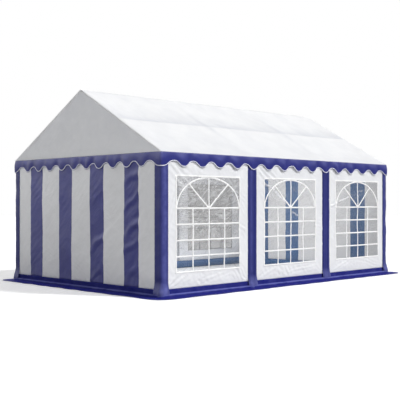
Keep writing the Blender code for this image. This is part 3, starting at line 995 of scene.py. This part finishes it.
def make_window(side, number, word, low, high, relief):
    cell = FILM_CELL[side]
    x = stops(low.x - WELD, low.x, high.x, high.x + WELD, cell=cell)
    z = stops(low.z - WELD, low.z, high.z, high.z + WELD, cell=cell)
    x, z = grid(x, z)
    look = {**FILMS[number], **(BACK_FILM if side == BACK else {})}
    seed = 300 + 10 * number + side

    def film_relief(at_x, at_z):
        crumpled = crumple(at_x, at_z, low, high, seed, look)
        return relief(at_x, at_z) - FILM_INSET + look["deep"] * (crumpled - 0.4)

    points = stacked(x, side * (WALL_Y + film_relief(x, z)), z)
    marks = film_marks(x, z, number, side, look, crumple(x, z, low, high, seed, look))
    flat = stacked(x, z)
    mesh = sheet_mesh(f"window_film_{word}", points, flat, turned=side == BACK, marks=marks)
    film = hang(mesh, CLEAR_FILM[side], "clear_film", FILM_THICK, f"window_{word}")
    lines = window_lines((low.x + high.x) / 2, low.z, high.z, (high.x - low.x) / 2)
    strips = [strip_points(line, film_relief, side, lift) for line, lift in lines]
    border = border_points(low, high, relief, side)
    mesh = join_grids(f"window_bars_{word}", strips, [border], turned=side == BACK)
    bars = hang(mesh, TAPE, "white_cloth", TAPE_THICK)


def make_wall(side, number):
    word = f"{SIDES[side]}_{number}"
    wall_low, wall_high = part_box(f"wall_{word}")
    low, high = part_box(f"window_{word}")
    first = max(wall_low.x, COVERED - HALF_LENGTH)
    last = min(wall_high.x, HALF_LENGTH - COVERED)
    x = stops(first, low.x, high.x, last, cell=WALL_CELL[side])
    z = stops(WALL_FOOT, low.z, high.z, WALL_TOP, cell=WALL_CELL[side])
    in_x = (x[:-1] > low.x - TOUCH) & (x[1:] < high.x + TOUCH)
    in_z = (z[:-1] > low.z - TOUCH) & (z[1:] < high.z + TOUCH)
    keep = ~(in_x[:, None] & in_z[None, :])
    x, z = grid(x, z)

    def relief(at_x, at_z):
        return wall_relief(at_x, at_z, number, side)

    points = stacked(x, side * (WALL_Y + relief(x, z)), z)
    # Painted shade: the white is painted greyer towards the top, under the valance.
    flat, marks = stacked(x, z), {"painted_light_and_wear": 0.24 * smooth_step((z - 0.25) / 0.7)}
    mesh = sheet_mesh(f"wall_cloth_{word}", points, flat, keep, turned=side == BACK, marks=marks)
    wall = hang(mesh, WHITE_WALL, "white_cloth", WALL_THICK, f"wall_{word}")
    cut = (last - first, WALL_TOP - WALL_FOOT)
    make_window(side, number, word, low, high, relief)


for side in SIDES:
    for number in range(1, BAYS + 1):
        make_wall(side, number)
print("window walls:", 2 * BAYS)

# %% [markdown]
# ## Striped end walls
#
# Each end is closed by one wide cloth that hangs under the gable. It is only held at its edges, so the
# wind pushes slow waves into it, and long slanting folds run down from the top corners.

# %% End walls
END_CELL = {LEFT: 0.019, RIGHT: 0.028}
END_FOLDS = [
    ((-1.80, 2.08), (-0.80, -1.00, -1.22, -0.60), 0.040, 1.20),
    ((1.80, 2.08), (-2.30, -2.10, -1.90), 0.040, 1.10),
    ((-1.75, 0.16), (0.50, 0.75, 1.05), 0.034, 0.70),
    ((0.20, 0.14), (0.45, 0.70), 0.034, 0.60),
]
END_CREASES = [
    ((1.32, 1.80), 28, 0.28, 0.10, 0.34, 0.30),
    ((1.26, 1.40), 40, 0.22, 0.075, 0.30, 0.34),
    ((1.36, 1.06), 36, 0.26, 0.09, 0.34, 0.32),
    ((1.24, 0.72), 28, 0.20, 0.07, 0.30, 0.28),
    ((1.30, 0.36), 42, 0.26, 0.09, 0.28, 0.16),
    ((0.50, 0.80), 34, 0.24, 0.085, 0.34, 0.30),
    ((0.42, 0.30), 42, 0.16, 0.09, 0.28, 0.16),
    ((0.40, 1.60), 46, 0.12, 0.28, 0.28, 0.06),
    ((-0.42, 1.30), 48, 0.11, 0.45, 0.24, 0.06),
    ((-1.26, 1.55), 42, 0.10, 0.26, 0.24, 0.09),
    ((-1.30, 0.90), 36, 0.10, 0.20, 0.24, 0.09),
    ((-1.26, 0.40), 40, 0.10, 0.20, 0.24, 0.08),
    ((1.70, 1.20), 64, 0.14, 0.10, 0.60, 0.12),
]


def end_relief(y, z, end):
    """How far an end wall stands off its plane: slow waves, slanting folds, crinkles and a puckered foot."""
    seed = 500 + end
    out = HALF_WIDTH - np.abs(y)
    folds = sum(fan_folds(end * y, z, *fold) for fold in END_FOLDS)
    bed = slack(y, z, seed, (0.6, 1.6)) * 0.0042
    slant = slack(y, z, seed + 3, (0.14, 0.45), -end * 0.9, 0.3) * 0.0009 + gathers(end * y, z, END_CREASES)
    crinkle = (crinkles(y, z, seed + 5, (0.12, 0.36), -end * 0.9, 0.6) - 0.45) * 0.0018
    pucker = slack(y, z * 0.2, seed + 9, (0.07, 0.18), 0.0, 0.2) * 0.0014 * np.exp(-(z - WALL_FOOT) / 0.10)
    middle = free_share(out, z, 0.10, 0.30, 0.15, 0.30)
    free = free_share(out, z, 0.135, 0.04, 0.03, 0.12)
    return middle * bed + free * (slant + crinkle + 0.0030 * folds + pucker)


def make_end_wall(end):
    word = ENDS[end]
    half = HALF_WIDTH - COVERED
    y, z = grid(stops(-half, half, cell=END_CELL[end]), stops(WALL_FOOT, WALL_TOP, cell=END_CELL[end]))
    points = stacked(end * (WALL_X + end_relief(y, z, end)), y, z)
    mesh = sheet_mesh(f"end_wall_cloth_{word}", points, stacked(y, z), turned=end == LEFT)
    wall = hang(mesh, STRIPED, "striped_cloth", WALL_THICK, f"end_wall_{word}", lining=STRIPED_INSIDE)
    2 * half


for end in ENDS:
    make_end_wall(end)
print("end walls:", len(ENDS))

# %% [markdown]
# ## Valance
#
# The valance is one strip with a wavy foot that runs round the whole tent under the edge of the roof. It is
# stiff enough to lean out from the roof and then curl back at its lobes. High on each lobe it is painted
# paler, as painted sheen where it leans back to the sky. Pale tape is sewn on just above its blue hem, and
# the dark strip of hem below the tape is also a painted shadow line. Its plan is a rectangle with rounded
# corners. The wave is a cosine along it, a little squared off, with whole waves on each side and a wider
# lobe at each corner.

# %% Valance
WAVE_HIGH = 0.136
WAVE_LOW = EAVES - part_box("valance_front")[0].z + 0.029
VALANCE_SEAM = VALANCE_TOP + 0.0012
WAVES = (15, 11, 15, 11)
CORNER_LOBE = 0.242
COLUMNS_A_WAVE = 24
VALANCE_ROWS = 12
VALANCE_ROUND = 0.014
VALANCE_PROUD = 0.0014
VALANCE_FLARE = 0.019
BINDING_HALF = (0.0028, 0.0057)
BINDING_PROUD = 0.0012
# The blue hem under the tape is partly a real hem and partly a painted shadow line under the tape.
HEM_AND_SHADOW_LINE = 0.0110


def round_plan(half_x, half_y, radius, columns, corner_columns=5):
    """A rectangle with rounded corners: points, outward directions, side numbers and shares along a side.

    The sides are front, right, back and left. A corner counts as the end of the side before it.
    """
    points, outward, sides, shares = [], [], [], []
    for number, count in enumerate(columns):
        heading = number * math.pi / 2
        run = np.array([math.cos(heading), math.sin(heading)])
        out = np.array([math.sin(heading), -math.cos(heading)])
        half_run, half_out = ((half_x, half_y), (half_y, half_x))[number % 2]
        share = np.linspace(0, 1, count + 1)
        turn = np.linspace(0, math.pi / 2, corner_columns + 1)[1:-1]
        bent = np.cos(turn)[:, None] * out + np.sin(turn)[:, None] * run
        edge = (2 * share - 1)[:, None] * (half_run - radius) * run + half_out * out
        corner = (half_run - radius) * run + (half_out - radius) * out + radius * bent
        points += [edge, corner]
        outward += [np.repeat(out[None], count + 1, axis=0), bent]
        sides += [np.full(count + 1 + len(turn), number)]
        shares += [share, np.ones(len(turn))]
    return np.concatenate(points), np.concatenate(outward), np.concatenate(sides), np.concatenate(shares)


def sweep_ring(name, path, outward, half, sides=10):
    """A closed ring with an oval section carried along a closed path."""
    along = np.roll(path, -1, axis=0) - np.roll(path, 1, axis=0)
    along /= np.linalg.norm(along, axis=1, keepdims=True)
    up = np.cross(outward, along)
    turn = np.linspace(0, math.tau, sides, endpoint=False)[None, :, None]
    rows = path[:, None] + np.cos(turn) * half[0] * outward[:, None] + np.sin(turn) * half[1] * up[:, None]
    quads = grid_quads(*rows.shape[:2], round_rows=True, round_columns=True)
    return quad_mesh(name, rows, quads.reshape(-1, 4))


def valance_waves(side, share):
    """At each column, the waves counted from the start of the ring, the depth and the way from a corner."""
    waves = np.array(WAVES)[side]
    length = 2 * np.array([VALANCE_X, VALANCE_Y] * 2)[side]
    from_corner = np.minimum(share, 1 - share)
    half_wave = (length / 2 - CORNER_LOBE) / (waves - 1)
    past_lobe = 0.5 + (from_corner * length - CORNER_LOBE) / half_wave / 2
    near = np.where(from_corner * length < CORNER_LOBE, from_corner * length / CORNER_LOBE / 2, past_lobe)
    phase = np.where(share < 0.5, near, waves - near)
    turn = np.concatenate([[0], np.cumsum(WAVES)])[side] + phase
    lift = (1 - np.cos(math.tau * phase)) / 2
    depth = WAVE_LOW + (WAVE_HIGH - WAVE_LOW) * (0.5 + 0.5 * np.tanh(2.0 * lift - 1.0) / math.tanh(1.0))
    return turn, depth, smooth_step(from_corner * waves / 1.5)


def valance_out(turn, fall, corner):
    """How far the strip stands out: leaning out at its top, curling back at the foot, most at the lobes."""
    swing = slack(turn, 0 * turn, 41, (1.3, 4.0), 0.0, 0.05) * corner
    ripple = slack(turn, 0 * turn, 42, (0.45, 1.1), 0.0, 0.05) * corner
    lobe = 0.5 + 0.5 * np.cos(math.tau * (turn + 0.06 + 0.05 * swing))
    lean = VALANCE_FLARE * (1 - (2 * fall - 1) ** 2 * np.where(fall < 0.5, 1.0, 0.36))
    out = VALANCE_PROUD + lean * (0.45 + 0.55 * lobe)
    return out + 0.0025 * fall * swing + 0.0110 * fall * (1.2 - fall) * ripple


def make_binding(points, outward):
    """Pale tape along the foot of the strip, a hem's width above its edge, the hem partly a painted shadow.
    """
    foot, above = points[:, -1, :], points[:, -2, :]
    rise = HEM_AND_SHADOW_LINE / np.linalg.norm(above - foot, axis=1, keepdims=True)
    out_3d = np.concatenate([outward, np.zeros((len(outward), 1))], axis=1)
    path = foot + (above - foot) * rise + BINDING_PROUD * out_3d
    return add_piece(sweep_ring("valance_binding", path, out_3d, BINDING_HALF), BINDING)


def make_valance():
    columns = [waves * COLUMNS_A_WAVE for waves in WAVES]
    plan, outward, side, share = round_plan(VALANCE_X, VALANCE_Y, VALANCE_ROUND, columns)
    turn, depth, corner = (column[:, None] for column in valance_waves(side, share))
    fall = np.linspace(0, 1, VALANCE_ROWS)[None, :]
    drop = VALANCE_SEAM - EAVES + depth
    place = plan[:, None, :] + valance_out(turn, fall, corner)[..., None] * outward[:, None, :]
    points = np.concatenate([place, (VALANCE_SEAM - fall * drop)[..., None]], axis=-1)
    length = lengths_along(plan)
    flat = stacked(np.repeat(length[:, None], VALANCE_ROWS, axis=1), points[..., 2])
    # Painted sheen: paler patches high on each lobe, where the leaning cloth faces the sky.
    lobe = 0.5 + 0.5 * np.cos(math.tau * (turn + 0.12))
    painted_light_and_wear = 0.34 * lobe**1.5 * np.exp(-(((fall - 0.28) / 0.2) ** 2)) * (0.7 + 0.3 * np.sin(2.3 * turn))
    mesh = sheet_mesh("valance_cloth", points, flat, marks={"painted_light_and_wear": painted_light_and_wear}, ring=True, turned=True)
    solids = [f"valance_{word}" for word in AROUND]
    cloth = hang(mesh, BLUE_CLOTH, "blue_cloth", CLOTH_THICK, *solids)
    binding = make_binding(points, outward)
    area = length[-1] * drop.mean()
    print(f"valance: {length[-1]:.2f} m long, {len(plan)} columns")


make_valance()

# %% [markdown]
# ## Leg covers
#
# A strip of blue cloth closes each joint between two panels and hides the leg behind it. It is held by hook
# tape along both edges, so it bows out in the middle. At its foot it runs over the band and out onto the
# flap. The corner strips do the same round a rounded corner.

# %% Leg covers
COVER_FOOT = 0.006
COVER_BEND = 0.15
COVER_CELL = 0.02
COVER_COLUMNS = 17
CORNER_ROUND = 0.024
ARM_COLUMNS = 8


def cover_grid(across):
    """Columns across a cover, with rows up to its top that are closer together where the foot bends."""
    foot = np.linspace(COVER_FOOT, COVER_BEND, 20)[:-1]
    return grid(across, np.concatenate([foot, stops(COVER_BEND, WALL_TOP, cell=COVER_CELL)]))


def foot_flare(z):
    """How far a cover runs out at its foot, to pass over the band and onto the flap."""
    return 0.030 * smooth_step((0.24 - z) / 0.20)


def cover_highlight_and_scuffs(across, z, middle, wide, most):
    """An upright painted highlight as a bell across the strip, a few scuffs at both edges, painted
    reflection at the foot.
    """
    band = most * np.exp(-(((across - middle) / wide) ** 2))
    return np.clip(band + 0.10 * np.abs(across) ** 14 + 0.58 * smooth_step((0.24 - z) / 0.16), 0, 1)


def cover_waves(z, seed):
    """Slow waves down the strip, about 2 mm high."""
    return slack(z, 0 * z, seed, (0.25, 0.9), 0.0, 0.02) * 0.0018


def cover_fine(u, z, seed):
    """Fine slanting wrinkles, half a millimetre high."""
    return slack(u, z, seed, (0.05, 0.14), 1.3, 0.4) * 0.0005


def hang_cover(name, solid, points, flat, painted_light_and_wear, turned):
    """Hang one cover from the eaves rail, in place of its plain solid."""
    mesh = sheet_mesh(name, points, flat, turned=turned, marks={"painted_light_and_wear": painted_light_and_wear})
    cover = hang(mesh, BLUE_LEG_COVER, "blue_cloth", CLOTH_THICK, solid)


def make_post_cover(side, number):
    word = f"{SIDES[side]}_{number}"
    low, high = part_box(f"post_cover_{word}")
    middle, half = (low.x + high.x) / 2, (high.x - low.x) / 2
    seed = 70 + 3 * number + side
    across, z = cover_grid(np.linspace(-1, 1, COVER_COLUMNS))
    bow = 0.0075 * (1 - across**2) + 0.0022 * np.cos(3.2 * math.pi * across + 0.5)
    loose = cover_waves(z, seed) * (1 - 0.6 * across**2) + cover_fine(across * 0.1, z, seed + 1)
    out = smooth_step((WALL_TOP - z) / 0.25) * (bow + loose) + foot_flare(z)
    x = middle + half * across * (1 + 0.010 * np.sin(5.0 * z + number))
    points = stacked(x, side * (COVER_Y + out), z)
    # Painted highlight down the strip, left of its middle, and painted reflection of the sky at its flared
    # foot.
    painted_light_and_wear = cover_highlight_and_scuffs(across, z, -0.25, 0.26, 0.32 if number == 1 else 0.16)
    flat = stacked(x, z)
    hang_cover(f"leg_cover_{word}", f"post_cover_{word}", points, flat, painted_light_and_wear, side == BACK)


def corner_plan(width):
    """A right angle with a rounded corner, in the quarter of +X and +Y: points and outward directions."""
    run = width - CORNER_ROUND
    arm = np.linspace(-1, 0, ARM_COLUMNS, endpoint=False)
    turn = np.linspace(0, math.pi / 2, 9)
    inner_x, inner_y = COVER_X - CORNER_ROUND, COVER_Y - CORNER_ROUND
    first = stacked(inner_x + run * arm, np.full(ARM_COLUMNS, COVER_Y))
    bend = stacked(inner_x + CORNER_ROUND * np.sin(turn), inner_y + CORNER_ROUND * np.cos(turn))
    last = stacked(np.full(ARM_COLUMNS, COVER_X), inner_y + run * arm)[::-1]
    out = stacked(np.sin(turn), np.cos(turn))
    still = np.zeros((ARM_COLUMNS, 2))
    return np.concatenate([first, bend, last]), np.concatenate([still + (0, 1), out, still + (1, 0)])


def make_corner_cover(side, end):
    word = f"{SIDES[side]}_{ENDS[end]}"
    low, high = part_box(f"corner_cover_{word}")
    plan, outward = corner_plan(high.x - low.x)
    length = lengths_along(plan)
    seed = 90 + 3 * side + end
    across, z = cover_grid(length / length[-1] * 2 - 1)
    bow = 0.0045 * np.sin(math.pi * np.abs(across)) * np.abs(across) ** 0.5
    loose = (cover_waves(z, seed) + 0.0012 * np.sin(9.0 * across)) * (1 - across**2)
    loose = loose + cover_fine(across * 0.13, z, seed + 1)
    out = smooth_step((WALL_TOP - z) / 0.25) * (0.0020 + bow + loose)
    out = out + foot_flare(z) * (1 + 0.3 * np.exp(-((across / 0.25) ** 2)))
    place = plan[:, None, :] + out[..., None] * outward[:, None, :]
    points = stacked(end * place[..., 0], side * place[..., 1], z)
    flat = stacked((across + 1) / 2 * length[-1], z)
    # Painted highlight beside the rounded corner, strongest at the front left corner, and painted reflection
    # at the foot.
    painted_light_and_wear = cover_highlight_and_scuffs(across, z, -0.50, 0.36, 0.60 if (side, end) == (FRONT, LEFT) else 0.35)
    name, solid = f"corner_cloth_{word}", f"corner_cover_{word}"
    hang_cover(name, solid, points, flat, painted_light_and_wear, side * end > 0)


for side in SIDES:
    for number in range(1, BAYS):
        make_post_cover(side, number)
    for end in ENDS:
        make_corner_cover(side, end)
print("leg covers:", 2 * (BAYS - 1), "and corner covers:", 4)

# %% [markdown]
# ## Skirt
#
# Under the walls runs a blue band that turns out over the ground and lies there as a flap, to keep draught
# and rain out. Its section is carried round the tent: straight down, a tight bead over the ground tube
# with a pale line painted along its top as a painted highlight, a slope, and the flap, which never lies
# quite flat on the ground. Inside, a second layer of the band wraps the ground tube, as a sleeve along each
# side.

# %% Skirt sections
SKIRT_CELL = 0.032
SKIRT_ROUND = 0.012
FLAP_LIFT = 0.0016
BEAD_TOP = 0.052
BEAD_OUT = 0.034
SLOPE_FOOT = 0.105
SLEEVE_TOP = 0.119
SLEEVE_IN = 0.008
SLEEVE_GAP = 0.060
SLEEVE_CELL = 0.06


def skirt_section(tip):
    """The section as rows of (distance out from the wall's plane, height, paleness), from the band's top."""
    band = [(0.0, z, 0.08) for z in np.linspace(WALL_FOOT - 0.0006, BEAD_TOP - 0.002, 5)]
    turn = np.linspace(-0.8, 2.0, 11)
    middle, low = BEAD_OUT / 2 + 0.004, BEAD_TOP - BEAD_OUT / 2
    rise = low + BEAD_OUT / 2 * np.cos(turn)
    # Painted highlight: the bead is paler along its top, where it faces up into the light.
    bead = stacked(middle + BEAD_OUT / 2 * np.sin(turn), rise, np.exp(-((turn - 0.70) ** 2) / 1.1))
    start, run = BEAD_OUT + 0.006, SLOPE_FOOT - BEAD_OUT
    slope = [(start, 0.018, 0.0)]
    for share in np.linspace(0, 1, 6)[1:]:
        slope.append((start + run * share, 0.016 * (1 - share) ** 1.5 + FLAP_LIFT, 0.0))
    flat = [(x, FLAP_LIFT, 0.0) for x in np.linspace(SLOPE_FOOT + 0.02, tip, 8)]
    return np.concatenate([band, bead, slope, flat])


def sleeve_section():
    """The band's inner layer as (distance in from the wall's plane, height): down, then over the tube."""
    low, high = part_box("ground_rail_front")
    middle, radius = (low.z + high.z) / 2, (high.z - low.z) / 2 + 0.0016
    axis = WALL_Y - reach("ground_rail_front", 1)[1]
    down = [(SLEEVE_IN, z) for z in np.linspace(SLEEVE_TOP, 0.060, 5)]
    turn = np.linspace(-0.7, 1.9, 11)
    over = stacked(axis + radius * np.sin(turn), middle + radius * np.cos(turn))
    return np.concatenate([down, over, [(axis + radius + 0.003, 0.003)]])


# %% Skirt
def make_sleeve():
    """Blue cloth round the ground tubes, seen from inside, one length along each side."""
    section = sleeve_section()
    half_x, half_y = (reach("leg_front_1", axis)[1] - SLEEVE_GAP for axis in (0, 1))
    lengths = []
    for way in (-1, 1):
        for half in (half_x, half_y):
            along = stops(-half, half, cell=SLEEVE_CELL) * (way if half == half_y else -way)
            along, inward = grid(along, section[:, 0])
            z = np.broadcast_to(section[:, 1], along.shape)
            inward = inward + 0.0010 * slack(along, z, 131 + way, (0.15, 0.6))
            if half == half_x:
                lengths.append(stacked(along, way * (WALL_Y - inward), z))
            else:
                lengths.append(stacked(way * (WALL_X - inward), along, z))
    return hang(join_grids("ground_rail_sleeve", lengths), BLUE_LINING, "blue_cloth", WALL_THICK)


def make_skirt():
    tip = FLAP_TIP_Y - WALL_Y
    section = skirt_section(tip)
    columns = [round(2 * half / SKIRT_CELL) for half in (WALL_X, WALL_Y)] * 2
    plan, outward, _, _ = round_plan(WALL_X, WALL_Y, SKIRT_ROUND, columns, 9)
    x, y = plan[:, :1], plan[:, 1:]
    out, z, painted_light_and_wear = (np.repeat(column[None], len(plan), axis=0) for column in section.T)
    lift = 0.5 + 0.5 * np.tanh(slack(x, y + out, 121, (0.25, 0.9)))
    edge = smooth_step((out / tip - 0.6) / 0.4)
    z = z + smooth_step((out - 0.05) / 0.08) * (0.0030 * lift + 0.0050 * edge * lift**2)
    bulge = smooth_step((0.11 - z) / 0.05) * smooth_step(z / 0.02)
    out = out + 0.0030 * bulge * (1 + slack(x, y, 122, (0.12, 0.5)) / 2)
    out = out - 0.008 * edge * (1 + np.sin(5 * (x + y))) / 2
    # The painted highlight on the bead, patchy round the tent.
    painted_light_and_wear = 2.4 * painted_light_and_wear * (0.75 + 0.25 * np.tanh(slack(x, y, 123, (0.15, 0.7))))
    place = plan[:, None, :] + np.maximum(out, 0)[..., None] * outward[:, None, :]
    points = np.concatenate([place, z[..., None]], axis=-1)
    around, down = lengths_along(plan), lengths_along(section[:, :2])
    flat = np.stack(np.broadcast_arrays(around[:, None], down[None]), axis=-1)
    mesh = sheet_mesh("skirt_cloth", points, flat, turned=True, marks={"painted_light_and_wear": painted_light_and_wear}, ring=True)
    solids = [f"skirt_{word}" for word in AROUND]
    skirt = hang(mesh, BLUE_SKIRT, "blue_cloth", CLOTH_THICK, *solids, lining=BLUE_LINING)
    make_sleeve()
    print(f"skirt: {around[-1]:.2f} m round")


make_skirt()

# %% [markdown]
# ## Floor and light
#
# The tent stands on a plain pale floor. A broad sun from high in front lights the window side and the
# roof and only grazes the striped end, so that its folds still show. A pale sky, brighter overhead than at
# the horizon, fills the rest. The cloth lets daylight through, which three soft lamps under the roof stand
# for, one in each bay.

# %% Floor
FLOOR_HALF = 60.0
FLOOR_DROP = 0.001
FLOOR_GLOW = 0.35
FLOOR_PALE = (0.84, 0.84, 0.84)
FLOOR_IN_GLOSS = (0.10, 0.10, 0.12)
FULL_WHITE = (1.0, 1.0, 1.0, 1.0)

corner_x, corner_y = grid([-FLOOR_HALF, FLOOR_HALF], [-FLOOR_HALF, FLOOR_HALF])
floor_points = stacked(corner_x, corner_y, np.full((2, 2), -FLOOR_DROP))
floor = add_object("floor", sheet_mesh("floor", floor_points))
floor_material, floor_shader, floor_place = new_material("pale_floor", Roughness=0.8)
floor_rays = node("ShaderNodeLightPath", tree=floor_material.node_tree)
floor_x, floor_y, _ = split_xyz(floor_place)
past_side = abs(floor_y).math("GREATER_THAN", WALL_Y)
outside = abs(floor_x).math("GREATER_THAN", WALL_X).math("MAXIMUM", past_side)
feed(floor_shader, "Base Color", mixed(floor_rays["Is Glossy Ray"], FLOOR_PALE, FLOOR_IN_GLOSS))
feed(floor_shader, "Emission Strength", floor_rays["Is Camera Ray"] * outside * FLOOR_GLOW)
floor_shader.inputs["Emission Color"].default_value = FULL_WHITE
floor.data.materials.append(floor_material)
print("floor:", 2 * FLOOR_HALF, "metres wide")

# %% Lights
SUN_FROM = Vector((0.34, -0.66, 0.68))
SUN_STRENGTH = 2.43
SUN_ANGLE = math.radians(6)
LAMP_POWER = 33.0
LAMP_SIZE = 0.5
LAMP_HEIGHT = 1.25
LAMP_BACK = 0.25
LAMP_STEP = 1.2


def add_light(name, kind, energy):
    """A light of some kind and strength."""
    light = add_object(name, bpy.data.lights.new(name, kind))
    light.data.energy = energy
    return light


sun = add_light("sun", "SUN", SUN_STRENGTH)
sun.data.angle = SUN_ANGLE
sun.rotation_euler = SUN_FROM.to_track_quat("Z", "Y").to_euler()
for number in range(BAYS):
    lamp = add_light(f"daylight_through_roof_{number + 1}", "POINT", LAMP_POWER)
    lamp.data.shadow_soft_size = LAMP_SIZE
    lamp.location = ((number - (BAYS - 1) / 2) * LAMP_STEP, LAMP_BACK, LAMP_HEIGHT)
    lamp.visible_camera = False
    lamp.visible_glossy = False
print("lights:", 1 + BAYS)

# %% [markdown]
# The sky is three things at once: soft light on everything, what glossy cloth mirrors, which is brightest
# overhead and off the left end, and a plain white backdrop for the camera.

# %% Sky
SKY_LIGHT = 0.290
GLOSS_LOW = 0.10
GLOSS_HIGH = 1.22
GLOSS_RISE = 2.2
GLOSS_BRIGHT_SIDE = (-0.93, -0.06, 0.0)
BACKDROP = 1.0

world = bpy.data.worlds.new("sky")
bpy.context.scene.world = world
world.use_nodes = True
background = world.node_tree.nodes["Background"]
background.inputs["Color"].default_value = FULL_WHITE
way = node("ShaderNodeTexCoord", tree=world.node_tree)["Generated"]
up = split_xyz(way)[2]
aside = node("ShaderNodeVectorMath", {0: way, 1: GLOSS_BRIGHT_SIDE}, operation="DOT_PRODUCT")["Value"]
rays = node("ShaderNodeLightPath", tree=world.node_tree)
soft = ramp(up, 0.0, 1.0, 0.75, 1.4) * SKY_LIGHT
gloss = ramp(aside, -0.8, 0.5, GLOSS_LOW, GLOSS_HIGH) + ramp(up, 0.0, 1.0) * GLOSS_RISE
level = part_way(rays["Is Glossy Ray"], soft, gloss)
feed(background, "Strength", part_way(rays["Is Camera Ray"], level, BACKDROP))
bpy.context.scene.view_settings.view_transform = "Standard"
print("sky light:", SKY_LIGHT)
